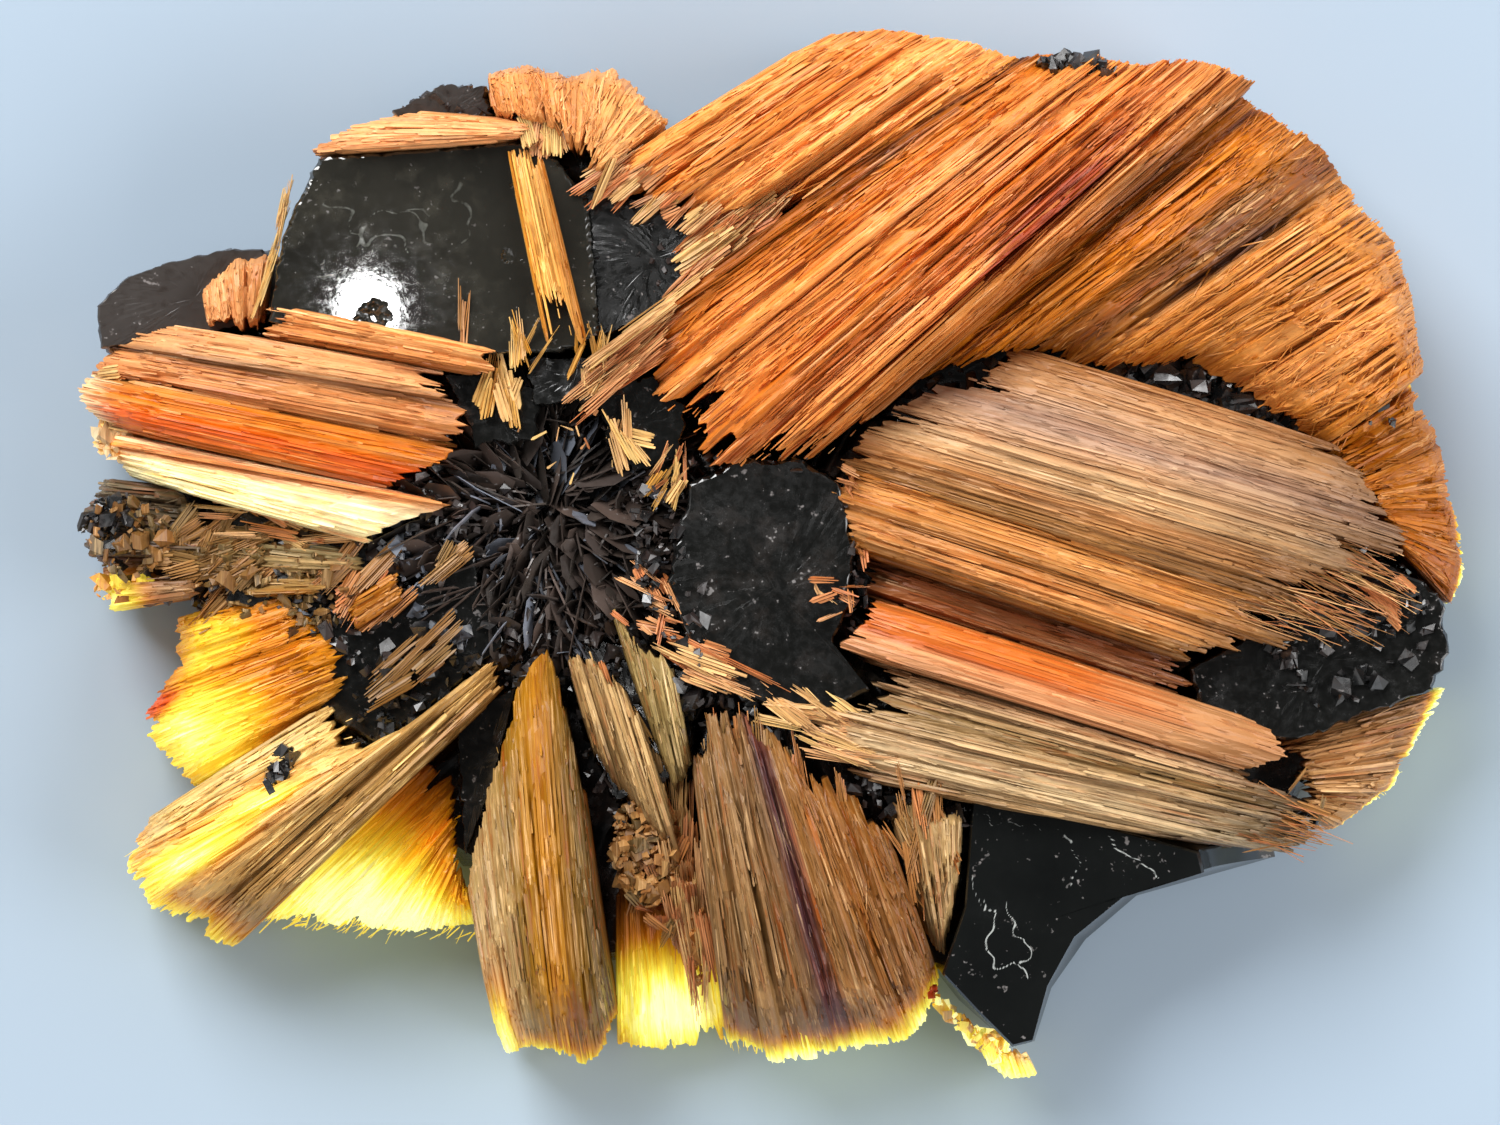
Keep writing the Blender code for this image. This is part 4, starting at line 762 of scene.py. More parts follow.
def hematiteFinish(name, look):
    # near-black glassy metal: grey veins from the mesh, grains, dull brown dust in hollows, painted glints, painted
    # shade in pits, scratches in the gloss
    finish = Finish(name, {"IOR": look.get("ior", 1.75), "Metallic": 0.0})
    place = finish.node("TexCoord", output=3)
    vein, dust, shade = finish.parts(finish.attribute("surface"))
    coarse = finish.noise(place, 260.0, 4.0)
    grain = finish.noise(place, 2600.0, 4.0, 0.65)
    speck = finish.noise(place, 5200.0, 1.0, 0.5)
    cloud = finish.noise(place, 700.0, 5.0, 0.6)
    colour = finish.mix(coarse, linear(*look.get("dark", (9, 10, 11))), linear(*look.get("light", (26, 27, 28))))
    brown = finish.range(cloud + dust * 0.6, look.get("brownFrom", 0.7), 1.0)
    colour = finish.mix(brown * look.get("brownShare", 0.5), colour, linear(*look.get("brown", (96, 66, 52))))
    # painted glints: light grey specks mixed into the colour, clustered by the cloud noise
    glint = finish.range(speck + (cloud - 0.5) * 0.9, 0.77, 0.83)
    colour = finish.mix(glint * look.get("glints", 0.4), colour, linear(150, 146, 144))
    mark = finish.range(finish.noise(place, 1300.0, 3.0, 0.7), 0.66, 0.71)
    colour = finish.mix(mark * look.get("marks", 0.5), colour, linear(158, 152, 150))
    worn = finish.range(vein * (0.4 + 1.2 * grain), 0.35, 0.75)
    colour = finish.mix(worn * look.get("veinShare", 0.8), colour, linear(*look.get("veinColour", (150, 152, 148))))
    # shade value: painted shade on pit floors, and a random tone of their own for crumbs and rosette plates
    colour = finish.brighter(colour, 0.55 + 0.45 * shade)
    finish.feed("Base Color", colour)
    low, high = look.get("rough", (0.1, 0.35))
    finish.feed("Roughness", finish.range(grain + worn * 0.5 + brown * 0.4, 0.4, 0.9, low, high))
    if "grainBump" in look:
        finish.bump(speck + cloud * 0.8, 1.0, look["grainBump"])
    else:
        finish.bump(coarse * 0.35 + cloud * 0.3 + grain * 0.15 - vein * 0.2, look.get("bump", 0.12), 0.12)
    return finish.material


def wave(x, y, size, seed, count=14):
    # smooth noise between about -1 and 1: the sum of sines in random directions, about size apart
    rng = np.random.RandomState(seed)
    total = np.zeros(np.broadcast(x, y).shape)
    for turn, phase, pitch in zip(rng.uniform(0, 2 * np.pi, count), rng.uniform(0, 2 * np.pi, count),
                                  rng.uniform(0.6, 1.7, count)):
        total += np.sin(2 * np.pi * (x * np.cos(turn) + y * np.sin(turn)) / (size * pitch) + phase)
    return total / np.sqrt(count)


def evenOutline(outline, count):
    # points evenly spread round a closed outline, with its corners kept
    ring = np.array(outline + outline[:1], float)
    walked = np.concatenate([[0], np.cumsum(np.hypot(*np.diff(ring, axis=0).T))])
    at = np.sort(np.concatenate([np.linspace(0, walked[-1], count, endpoint=False), walked[1:-1] + 1e-4]))
    return np.stack([np.interp(at, walked, ring[:, k]) for k in (0, 1)], axis=-1)


def veinOf(points, veins):
    # 1 on the wiggly lines of a face and fading to 0 about their width away
    strength = np.zeros(len(points))
    x, y = points[:, 0], points[:, 1]
    points = np.stack([x + 0.16 * wave(x, y, 1.1, 61), y + 0.16 * wave(x, y, 1.1, 62)], axis=-1)
    for line, width, amount in veins:
        line = np.array(line, float)
        for a, b in zip(line, line[1:]):
            along = np.clip(((points[:, :2] - a) @ (b - a)) / ((b - a) @ (b - a)), 0, 1)
            gap = np.linalg.norm(points[:, :2] - a - along[:, None] * (b - a), axis=1)
            strength = np.maximum(strength, amount * np.exp(-(gap / width) ** 2))
    return strength


def discBody(heap, rings, levels, dust=0.0, veins=(), pits=()):
    # closed body of rings, each (outline grid, heights), from the middle of its top to the middle of its underside
    columns = len(rings[0])
    grid = np.concatenate([np.column_stack([ring, height]) for ring, height in zip(rings, levels)])
    first = np.append(rings[0].mean(axis=0), levels[0].mean())
    final = np.append(rings[-1].mean(axis=0), levels[-1].mean())
    points = np.concatenate([grid, [first, final]])
    faces = gridFaces(len(rings), columns, wrap=True)
    j = np.arange(columns)
    k = (j + 1) % columns
    topCap = np.stack([np.full(columns, len(grid)), j, k], axis=1)
    j, k = j + (len(rings) - 1) * columns, k + (len(rings) - 1) * columns
    lowCap = np.stack([np.full(columns, len(grid) + 1), k, j], axis=1)
    surface = np.zeros((len(points), 3))
    surface[:, 0] = veinOf(points, veins) if veins else 0
    surface[:, 1] = dust
    surface[:, 2] = 1
    for x, y, radius, depth in pits:
        away = np.hypot(points[:, 0] - x, points[:, 1] - y) + 0.1 * wave(points[:, 0], points[:, 1], 0.4, 9)
        hole = np.exp(-(np.maximum(away, 0) / radius) ** 4) * (points[:, 2] > levels[0].mean() - 0.3)
        points[:, 2] -= depth * hole
        # painted shade: the pit's floor is darkened through the shade value, as well as dusted
        surface[:, 2] -= 0.9 * hole
        surface[:, 1] += 0.6 * hole
    heap.add(points, faces, topCap, lowCap, surface=surface)


def tilted(points, outline, top, tilt):
    # height of a face that leans by tilt degrees about X and Y through the middle of its outline
    middle = np.array(outline).mean(axis=0)
    riseY, riseX = np.tan(np.radians(tilt))
    return top + (points[:, 1] - middle[1]) * riseY + (points[:, 0] - middle[0]) * riseX


def addTablet(heap, tablet, seed):
    # flat leaning face with low steps and a worn rim, and rippled sides down to the foot
    outline = evenOutline(tablet["outline"], tablet.get("count", 110))
    middle = outline.mean(axis=0)
    away = outline - middle
    reach = np.linalg.norm(away, axis=1, keepdims=True)
    uneven = tablet.get("uneven", 0.07)
    x, y = outline.T * 2
    outline = outline + away / reach * uneven * (wave(x, y, 1.6, seed) + 0.5 * wave(x, y, 0.5, seed))[:, None]
    away = outline - middle
    reach = np.linalg.norm(away, axis=1, keepdims=True)
    grown = lambda amount: middle + away * (1 + amount / reach)
    rings, levels = [], []
    steps = tablet.get("steps", 0.006)
    for r in np.linspace(0.03, 0.97, tablet.get("rings", 9)):
        ring = middle + (outline - middle) * r
        rings.append(ring)
        flat = tilted(ring, tablet["outline"], tablet["top"], tablet["tilt"])
        stepped = np.round(1.6 * wave(ring[:, 0], ring[:, 1], 2.6, seed)) * steps
        levels.append(flat + stepped)
    edge = tilted(outline, tablet["outline"], tablet["top"], tablet["tilt"])
    worn = np.abs(wave(outline[:, 0] * 2, outline[:, 1] * 2, 0.9, seed + 2))[:, None]
    rings += [grown(-0.03 - 0.12 * worn), grown(0.0)]
    levels += [edge - 0.03, edge - 0.12 - 0.15 * worn[:, 0]]
    for share in (0.15, 0.3, 0.45, 0.6, 0.8, 1.0):
        ripple = 0.14 * wave(outline[:, 0] * 2, outline[:, 1] * 2 + share * 5, 1.1, seed + 3)[:, None]
        rings.append(grown(tablet.get("flare", 0.1) * share) + (away / reach) * ripple * min(1, share * 3))
        levels.append(edge - 0.28 - (edge - 0.28 - tablet["foot"]) * share)
    discBody(heap, rings, levels, tablet.get("dust", 0.0), tablet.get("veins", ()), tablet.get("pits", ()))


slab = {
    "outline": [
        (-26.0, 8.6), (-25.0, 10.4), (-20.0, 12.0), (-18.0, 15.6), (-12.6, 17.8), (-7.0, 17.6),
        (-3.4, 16.6), (2.4, 18.4), (8.0, 18.2), (14.0, 17.8), (18.0, 16.6), (21.6, 13.4), (23.6, 9.6),
        (24.6, 6.0), (25.4, 2.4), (26.2, -1.0), (26.0, -4.8), (23.4, -7.6), (20.8, -10.6), (18.4, -12.0),
        (14.0, -12.9), (11.8, -15.0), (10.4, -17.6), (9.6, -19.2), (7.4, -17.2), (4.4, -16.4),
        (0.2, -16.8), (-4.6, -16.4), (-8.6, -16.8), (-10.8, -13.8), (-14.6, -11.4), (-20.6, -11.2),
        (-22.0, -7.4), (-21.8, -3.6), (-24.6, -1.2), (-25.8, 1.2), (-25.0, 3.4), (-25.8, 5.6)],
    "top": 3.9, "waist": 1.3, "waistSpread": 0.35, "footInset": 1.3, "shoulderInset": 0.7, "rough": 0.3, "count": 360,
}


slabLook = {
    "rough": (0.16, 0.4), "bump": 0.5, "brownShare": 0.7, "brownFrom": 0.55,
}


def buildSlab():
    # broken slab: lumpy top, hackly bevel, a waist and a smaller flat foot
    heap = Heap("surface")
    outline = evenOutline(slab["outline"], slab["count"])
    corner = np.arange(len(outline))
    middle = outline.mean(axis=0)
    away = outline - middle
    reach = np.linalg.norm(away, axis=1, keepdims=True)
    hackle = 0.16 * wave(outline[:, 0] * 2, outline[:, 1] * 2, 1.1, 5)[:, None]
    grown = lambda amount: middle + away * (1 + amount / reach)
    rings, levels = [], []
    for r in np.linspace(0.02, 1, 26):
        ring = middle + (grown(-slab["shoulderInset"]) - middle) * r
        rings.append(ring)
        lumps = slab["rough"] * (wave(ring[:, 0], ring[:, 1], 3.0, 1) + 0.6 * wave(ring[:, 0], ring[:, 1], 1.1, 2))
        levels.append(slab["top"] - 0.35 + 0.5 * lumps * np.clip((1.0 - r) * 12, 0.3, 1))
    waist = slab["waist"] + slab["waistSpread"] * np.sin(corner * 0.17)
    for share, inset in ((0.25, -0.5), (0.5, -0.33), (0.75, -0.2), (1.0, -0.12)):
        rings.append(grown(inset + hackle * (0.4 + 0.6 * share)))
        levels.append(slab["top"] - 0.4 - (slab["top"] - 0.4 - waist) * share
                      + 0.12 * wave(outline[:, 0], outline[:, 1] + share * 3, 0.9, 8))
    for share in (0.35, 0.7, 1.0):
        rings.append(grown(-0.12 - (slab["footInset"] - 0.12) * share + hackle * (1 - share)))
        levels.append(waist * (1 - share))
    rings.append(middle + away * 0.5)
    levels.append(np.zeros(len(outline)))
    discBody(heap, rings, levels, 0.15)
    heap.make("slab_broken", hematiteFinish("hematite_broken", slabLook), ("hematite_mass",), smooth=True)


plate = {
    "upper_left_face": {
        "outline": [(-18.2, 16.0), (-9.4, 16.7), (-7.5, 14.5), (-7.0, 8.9), (-8.6, 8.3), (-12.2, 8.2),
                    (-16.0, 8.7), (-20.2, 9.5), (-19.6, 12.9)],
        "top": 9.2, "foot": 3.0, "tilt": (0.0, 0.0), "count": 300, "rings": 60, "steps": 0.0, "uneven": 0.03,
        "pits": [(-16.0, 9.7, 0.42, 0.3), (-10.6, 12.1, 0.22, 0.1), (-10.5, 14.9, 0.12, 0.08)],
        "veins": [
            ([(-17.8, 14.2), (-17.0, 13.9), (-16.8, 13.0), (-16.2, 12.6), (-15.2, 13.0), (-14.6, 12.4)], 0.12, 0.5),
            ([(-16.6, 12.5), (-16.2, 13.6), (-15.0, 14.0), (-13.8, 13.9)], 0.1, 0.5),
            ([(-13.8, 12.6), (-14.0, 13.4), (-14.8, 13.9)], 0.1, 0.48),
            ([(-12.6, 14.8), (-12.2, 13.6), (-12.5, 12.6)], 0.14, 0.42),
            ([(-18.6, 11.6), (-17.6, 11.2), (-16.9, 11.5)], 0.12, 0.42),
        ],
    },
}


plateLook = {
    "rough": (0.02, 0.07), "grainBump": 0.0003, "brownShare": 0.5, "brownFrom": 0.52, "brown": (92, 88, 76),
    "dark": (10, 11, 10), "light": (52, 50, 44), "veinColour": (136, 138, 130), "glints": 0.4, "marks": 0.25,
}


def buildPlate():
    # the shining upper left face, with a pit darkened by painted shade beside its highlight
    heap = Heap("surface")
    addTablet(heap, plate["upper_left_face"], 11)
    heap.make("plate_upper_left", hematiteFinish("hematite_plate", plateLook))


tablets = {
    "upper_left_step": {
        "outline": [(-8.0, 14.8), (-3.4, 14.1), (0.5, 13.2), (-2.6, 10.9), (-6.9, 8.9), (-8.2, 8.6)],
        "top": 8.6, "foot": 3.0, "tilt": (-2.0, 2.0),
    },
    "left_end": {
        "outline": [(-27.1, 8.5), (-27.2, 10.2), (-26.1, 11.3), (-24.6, 11.9), (-22.0, 12.5),
                    (-20.6, 12.5), (-19.0, 10.3), (-22.6, 9.1), (-25.0, 8.8)],
        "top": 7.0, "foot": 1.6, "tilt": (3.0, -5.0), "uneven": 0.03, "dust": 1.0,
    },
    "star_plate": {
        "outline": [(-7.0, 7.1), (-4.9, 7.3), (-3.6, 6.1), (-3.8, 4.2), (-5.4, 3.5), (-6.8, 4.7)],
        "top": 8.2, "foot": 3.0, "tilt": (4.0, -3.0),
    },
    "star_block": {
        "outline": [(-10.0, 8.1), (-6.4, 8.1), (-6.0, 6.6), (-9.6, 6.2)],
        "top": 8.3, "foot": 3.0, "tilt": (-5.0, 2.0),
    },
    "star_wedge": {
        "outline": [(-13.2, 7.4), (-11.0, 7.8), (-9.4, 6.6), (-9.6, 4.8), (-12.0, 4.6)],
        "top": 7.7, "foot": 3.0, "tilt": (3.0, 4.0),
    },
    "right_plate": {
        "outline": [(-3.4, 3.0), (-1.4, 4.0), (1.0, 4.0), (2.6, 3.0), (3.1, 0.7), (3.0, -1.7), (2.3, -3.3),
                    (3.8, -5.2), (1.8, -6.2), (-1.3, -5.6), (-3.3, -3.7), (-4.3, -0.9)],
        "top": 8.1, "foot": 3.0, "tilt": (1.5, 2.0), "dust": 0.15,
    },
    "top_left_lump": {
        "outline": [(-15.2, 17.9), (-13.4, 18.9), (-11.7, 18.9), (-11.4, 17.9), (-12.4, 16.8),
                    (-14.6, 17.0)],
        "top": 8.6, "foot": 2.2, "tilt": (6.0, -4.0), "dust": 0.8,
    },
    "right_dark_end": {
        "outline": [(16.6, -4.4), (21.0, -2.1), (24.4, 0.0), (26.7, -1.3), (27.1, -3.7), (26.4, -5.2),
                    (21.0, -7.2), (17.6, -7.0)],
        "top": 6.9, "foot": 1.8, "tilt": (-3.0, 3.0),
    },
    "strip_between_sheaves": {
        "outline": [(4.2, 5.8), (5.4, 7.2), (9.4, 9.0), (17.4, 8.8), (22.4, 5.0), (20.0, 3.2), (12.0, 4.6)],
        "top": 6.8, "foot": 3.0, "tilt": (3.0, 1.0),
    },
    "lower_left_dark": {
        "outline": [(-19.0, -5.3), (-18.4, -2.2), (-15.0, -1.4), (-12.2, 0.1), (-10.8, -3.3),
                    (-13.4, -5.5), (-16.1, -7.4), (-17.8, -6.4)],
        "top": 6.3, "foot": 3.0, "tilt": (4.0, 3.0),
    },
    "lower_wedge": {
        "outline": [(-12.8, -6.6), (-10.4, -5.0), (-11.4, -9.0), (-12.5, -11.9)],
        "top": 6.1, "foot": 3.0, "tilt": (2.0, -3.0),
    },
    "lower_lump": {
        "outline": [(-8.6, -2.6), (-3.2, -4.6), (-3.4, -8.4), (-6.4, -9.8), (-7.8, -6.4)],
        "top": 6.2, "foot": 3.0, "tilt": (-3.0, 2.0),
    },
    "left_lump": {
        "outline": [(-22.6, 2.2), (-16.4, 0.9), (-14.6, 0.2), (-17.0, -2.4), (-22.0, -1.8)],
        "top": 6.2, "foot": 2.0, "tilt": (-4.0, -5.0),
    },
}


tabletLook = {
    "rough": (0.14, 0.4), "bump": 0.12, "brownShare": 0.5, "brownFrom": 0.6, "brown": (62, 52, 46),
    "dark": (7, 8, 8), "light": (22, 22, 20), "glints": 0.6,
}


def buildTablets():
    # the other flat-faced crystals, each with its own lean
    heap = Heap("surface")
    for seed, tablet in enumerate(tablets.values()):
        addTablet(heap, tablet, 30 + seed)
    heap.make("tablets", hematiteFinish("hematite_tablets", tabletLook))


brokenTablet = {
    "face": [(7.9, -9.7), (9.4, -9.5), (13.0, -10.6), (17.0, -11.7), (17.2, -12.5), (14.2, -13.3), (12.0, -15.1),
             (10.9, -17.1), (10.3, -19.3), (9.5, -19.5), (8.1, -18.1), (6.7, -16.6), (7.6, -13.9)],
    "foot": [(7.9, -9.7), (9.4, -9.5), (13.0, -10.6), (20.4, -11.4), (20.6, -12.2), (14.9, -13.8), (12.8, -15.6),
             (11.4, -17.6), (10.7, -19.8), (9.5, -19.8), (7.6, -18.1), (6.4, -16.6), (7.4, -13.9)],
    "top": 7.8, "base": 0.9,
    "veins": [
        ([(8.5, -13.6), (8.8, -14.4), (8.4, -15.4), (8.9, -16.3), (9.7, -16.1), (10.1, -16.7)], 0.035, 1.0),
        ([(9.3, -13.6), (9.6, -14.6), (10.1, -15.3), (9.9, -16.2)], 0.03, 0.9),
        ([(7.7, -12.6), (8.3, -13.6), (8.7, -14.2)], 0.025, 0.8),
        ([(11.6, -10.9), (12.2, -12.0), (12.0, -13.0)], 0.03, 0.7),
        ([(13.4, -11.2), (14.4, -12.1), (15.4, -12.6)], 0.04, 0.9),
        ([(7.9, -10.2), (8.6, -10.3), (9.8, -10.7), (11.2, -10.8)], 0.04, 0.5),
    ],
}


shellLook = {
    "rough": (0.08, 0.2), "bump": 0.05, "brownShare": 0.25, "veinColour": (186, 190, 186), "glints": 0.3,
    "dark": (6, 7, 8), "light": (24, 26, 25),
}


def buildBrokenTablet():
    # lower right tablet: flat face, and a hollow shell-shaped fracture that runs out at its foot
    heap = Heap("surface")
    pieces = 20
    ring = lambda outline: np.concatenate([
        np.array(a) + (np.array(b) - np.array(a)) * np.linspace(0, 1, pieces, endpoint=False)[:, None]
        for a, b in zip(outline, outline[1:] + outline[:1])])
    face, foot = ring(brokenTablet["face"]), ring(brokenTablet["foot"])
    middle = face.mean(axis=0)
    rings, levels = [], []
    for r in np.linspace(0.02, 0.98, 90):
        flat = middle + (face - middle) * r
        rings.append(flat)
        levels.append(brokenTablet["top"] + 0.03 * wave(flat[:, 0], flat[:, 1], 3.0, 4))
    rings.append(face)
    levels.append(np.full(len(face), brokenTablet["top"] - 0.15))
    for share in np.linspace(0.08, 1, 14):
        bow = share ** 2.4
        rings.append(face + (foot - face) * bow)
        levels.append(brokenTablet["top"] - 0.15 - (brokenTablet["top"] - brokenTablet["base"] - 0.15) * share
                      + 0.08 * np.sin(share * 20) * (1 - share) * np.ones(len(face)))
    discBody(heap, rings, levels, 0.0, brokenTablet["veins"])
    heap.make("tablet_lower_right", hematiteFinish("hematite_shell", shellLook), smooth=True)


rosette = {"middle": (-9.0, 2.2), "plates": 1100, "reach": 6.0, "top": 6.6, "seed": 3, "fins": 0.8}


rosetteLook = {
    "rough": (0.25, 0.6), "bump": 0.5, "brown": (92, 72, 62), "brownShare": 0.6, "brownFrom": 0.5,
    "dark": (22, 20, 20), "light": (78, 70, 63), "glints": 1.0, "veinColour": (118, 126, 140),
}


def buildRosette():
    # thin six-sided plates that stand on edge and lean away from the middle
    rng = np.random.RandomState(rosette["seed"])
    count = rosette["plates"]
    heap = Heap("surface")
    bearing = rng.uniform(0, 2 * np.pi, count)
    reach = rosette["reach"] * np.sqrt(rng.uniform(0.01, 1, count))
    radius = 0.18 + 0.7 * rng.uniform(0, 1, count) ** 1.8
    thick = rng.uniform(0.03, 0.09, count)
    quarter = np.where(rng.rand(count) < rosette["fins"], np.pi / 2, 0) + rng.normal(0, 0.35, count)
    lean = np.radians(rng.uniform(45, 92, count))
    spin = rng.uniform(0, 1, count)
    turn = np.arange(6) * np.pi / 3 + spin[:, None]
    drawn = np.where(np.abs(quarter) > 1, rng.uniform(1.0, 3.4, count), rng.uniform(0.5, 1.2, count))
    size = radius[:, None] * np.stack([rng.uniform(0.5, 1.2, count), drawn])[..., None]
    x = np.concatenate([size[0] * np.cos(turn), 0.9 * size[0] * np.cos(turn)], axis=1)
    y = np.concatenate([size[1] * np.sin(turn), 0.9 * size[1] * np.sin(turn)], axis=1) * 0.8
    z = np.repeat(np.array([0.5, -0.5]), 6) * thick[:, None]
    x, z = x * np.cos(lean)[:, None] + z * np.sin(lean)[:, None], z * np.cos(lean)[:, None] - x * np.sin(lean)[:, None]
    c, s = np.cos(bearing + quarter)[:, None], np.sin(bearing + quarter)[:, None]
    x, y = x * c - y * s, x * s + y * c
    x = x + (rosette["middle"][0] + reach * np.cos(bearing))[:, None]
    y = y + (rosette["middle"][1] + reach * np.sin(bearing))[:, None]
    z = z + (rosette["top"] - 0.25 + rng.uniform(-0.5, 0.5, count) - 0.05 * reach)[:, None]
    plate = np.concatenate([gridFaces(2, 6, wrap=True), [[0, 1, 2, 3], [0, 3, 4, 5], [9, 8, 7, 6], [11, 10, 9, 6]]])
    faces = (plate[None] + (np.arange(count) * 12)[:, None, None]).reshape(-1, 4)
    grey = np.where(rng.rand(count) < 0.1, rng.uniform(0.6, 1, count), 0)
    surface = np.stack([grey, rng.uniform(0, 1, count), rng.uniform(-0.4, 1.8, count)], axis=-1)
    heap.add(np.stack([x, y, z], axis=-1).reshape(-1, 3), faces, bodies=count, surface=np.repeat(surface, 12, axis=0))
    heap.make("rosette", hematiteFinish("hematite_rosette", rosetteLook))


crumbs = {
    # place, half widths, turn in degrees, height, number, size, dust
    "star": ((-9.0, 1.6), (5.6, 5.4), 0, 6.4, 420, (0.08, 0.36), 0.5),
    "star_left": ((-14.4, 1.6), (2.0, 1.8), 0, 6.6, 160, (0.12, 0.5), 0.6),
    "star_lower": ((-9.4, -3.4), (4.6, 1.8), 0, 6.4, 220, (0.12, 0.45), 0.3),
    "left_ground": ((-17.0, -1.6), (4.8, 2.6), -25, 6.4, 300, (0.1, 0.5), 0.4),
    "left_edge": ((-23.4, 0.4), (3.4, 2.4), 0, 5.6, 200, (0.1, 0.5), 0.6),
    "inner_ground": ((-14.6, -5.0), (3.0, 1.8), 40, 6.5, 120, (0.12, 0.5), 0.1),
    "plate_lower": ((-1.4, -6.0), (4.2, 1.0), -12, 7.4, 120, (0.12, 0.5), 0.2),
    "plate_left": ((-4.3, -0.4), (1.2, 4.2), 15, 7.9, 170, (0.08, 0.38), 0.5),
    "plate_top": ((-0.8, 3.9), (2.6, 0.45), 0, 8.0, 60, (0.06, 0.3), 0.5),
    "plate_right": ((3.1, -0.8), (0.5, 3.0), 5, 8.0, 60, (0.06, 0.3), 0.5),
    "right_crumble": ((17.4, 6.7), (4.6, 1.4), -16, 7.2, 260, (0.2, 0.95), 0.2),
    "right_strip": ((8.4, 7.2), (4.0, 0.9), 12, 7.0, 90, (0.15, 0.5), 0.4),
    "right_pocket": ((22.8, -2.6), (3.6, 3.2), 30, 7.0, 240, (0.12, 0.55), 0.1),
    "right_low_end": ((19.4, -10.2), (2.4, 1.1), -10, 6.2, 90, (0.12, 0.5), 0.1),
    "step": ((-3.6, 12.0), (4.0, 1.6), -10, 8.5, 70, (0.1, 0.35), 0.7),
    "top_lump": ((-13.2, 17.9), (1.8, 0.8), 10, 8.4, 60, (0.12, 0.5), 0.8),
    "tuft_ground": ((5.4, -9.6), (2.4, 1.2), -20, 7.2, 90, (0.12, 0.45), 0.2),
    "between_blades": ((-6.2, -7.2), (1.8, 3.6), 10, 6.2, 120, (0.12, 0.5), 0.3),
    "inner_pit": ((-19.8, -8.3), (0.34, 0.95), -30, 8.7, 170, (0.1, 0.5), 0.1),
    "knob": ((-26.6, 1.4), (1.2, 1.2), 0, 6.9, 80, (0.12, 0.45), 0.3),
    "edge_bits": ((23.6, 5.9), (1.3, 0.5), -15, 7.9, 16, (0.12, 0.4), 0.0),
    "top_bits": ((12.0, 19.7), (1.6, 0.3), -8, 9.7, 70, (0.14, 0.5), 0.3),
}


greySpots = [(-15.3, 0.8, 0.9), (-14.4, -0.6, 0.8), (-13.9, -2.0, 0.8), (-13.0, -3.2, 0.6), (-10.7, 3.8, 0.6),
             (-19.4, -2.2, 0.8), (-18.6, 0.4, 0.6), (-8.2, -3.6, 0.5), (-7.2, -4.6, 0.4)]


def shards(rng, count, place, half, turn, height, least, most):
    # broken bits: cubes with every corner moved, drawn out at random and turned at random, in an oval on the ground
    cube = np.array([(x, y, z) for z in (-1, 1) for x, y in ((-1, -1), (1, -1), (1, 1), (-1, 1))], float) / 2
    quads = np.array([(3, 2, 1, 0), (4, 5, 6, 7), (0, 1, 5, 4), (1, 2, 6, 5), (2, 3, 7, 6), (3, 0, 4, 7)])
    reach = np.sqrt(rng.uniform(0, 1, count))
    bearing = rng.uniform(0, 2 * np.pi, count)
    flat = np.stack([half[0] * reach * np.cos(bearing), half[1] * reach * np.sin(bearing)])
    c, s = np.cos(np.radians(turn)), np.sin(np.radians(turn))
    centre = np.stack([place[0] + c * flat[0] - s * flat[1], place[1] + s * flat[0] + c * flat[1],
                       height + rng.uniform(-0.5, 0.25, count)], axis=-1)
    size = least + (most - least) * rng.uniform(0, 1, (count, 1, 1)) ** 2.5
    corners = (cube + rng.uniform(-0.24, 0.24, (count, 8, 3))) * size * rng.uniform(0.25, 1.7, (count, 1, 3))
    axis = rng.normal(size=(count, 3))
    axis /= np.linalg.norm(axis, axis=1, keepdims=True)
    angle = rng.uniform(0, np.pi, (count, 1, 1))
    along = np.einsum("nkj,nj->nk", corners, axis)[..., None] * axis[:, None]
    cross = np.cross(axis[:, None], corners)
    corners = along + (corners - along) * np.cos(angle) + cross * np.sin(angle) + centre[:, None]
    faces = (quads[None] + (np.arange(count) * 8)[:, None, None]).reshape(-1, 4)
    return corners, faces, centre


crumbLook = {
    "rough": (0.22, 0.55), "bump": 0.12, "brown": (78, 58, 52), "brownShare": 0.7, "brownFrom": 0.5,
    "glints": 0.5, "veinColour": (118, 126, 140),
}


def buildCrumbs():
    # black crumbs between the sheaves, greyed by dust in spots
    rng = np.random.RandomState(21)
    heap = Heap("surface")
    for place, half, turn, height, count, (least, most), dust in crumbs.values():
        corners, faces, centre = shards(rng, count, place, half, turn, height, least, most)
        grey = np.zeros(count)
        for x, y, radius in greySpots:
            grey = np.maximum(grey, np.exp(-((centre[:, 0] - x) ** 2 + (centre[:, 1] - y) ** 2) / radius ** 2))
        own = np.stack([grey, dust * rng.uniform(0, 1, count), rng.uniform(0.3, 1, count)], axis=-1)
        heap.add(corners.reshape(-1, 3), faces, bodies=count, surface=np.repeat(own, 8, axis=0))
    heap.make("crumbs", hematiteFinish("hematite_crumbs", crumbLook))


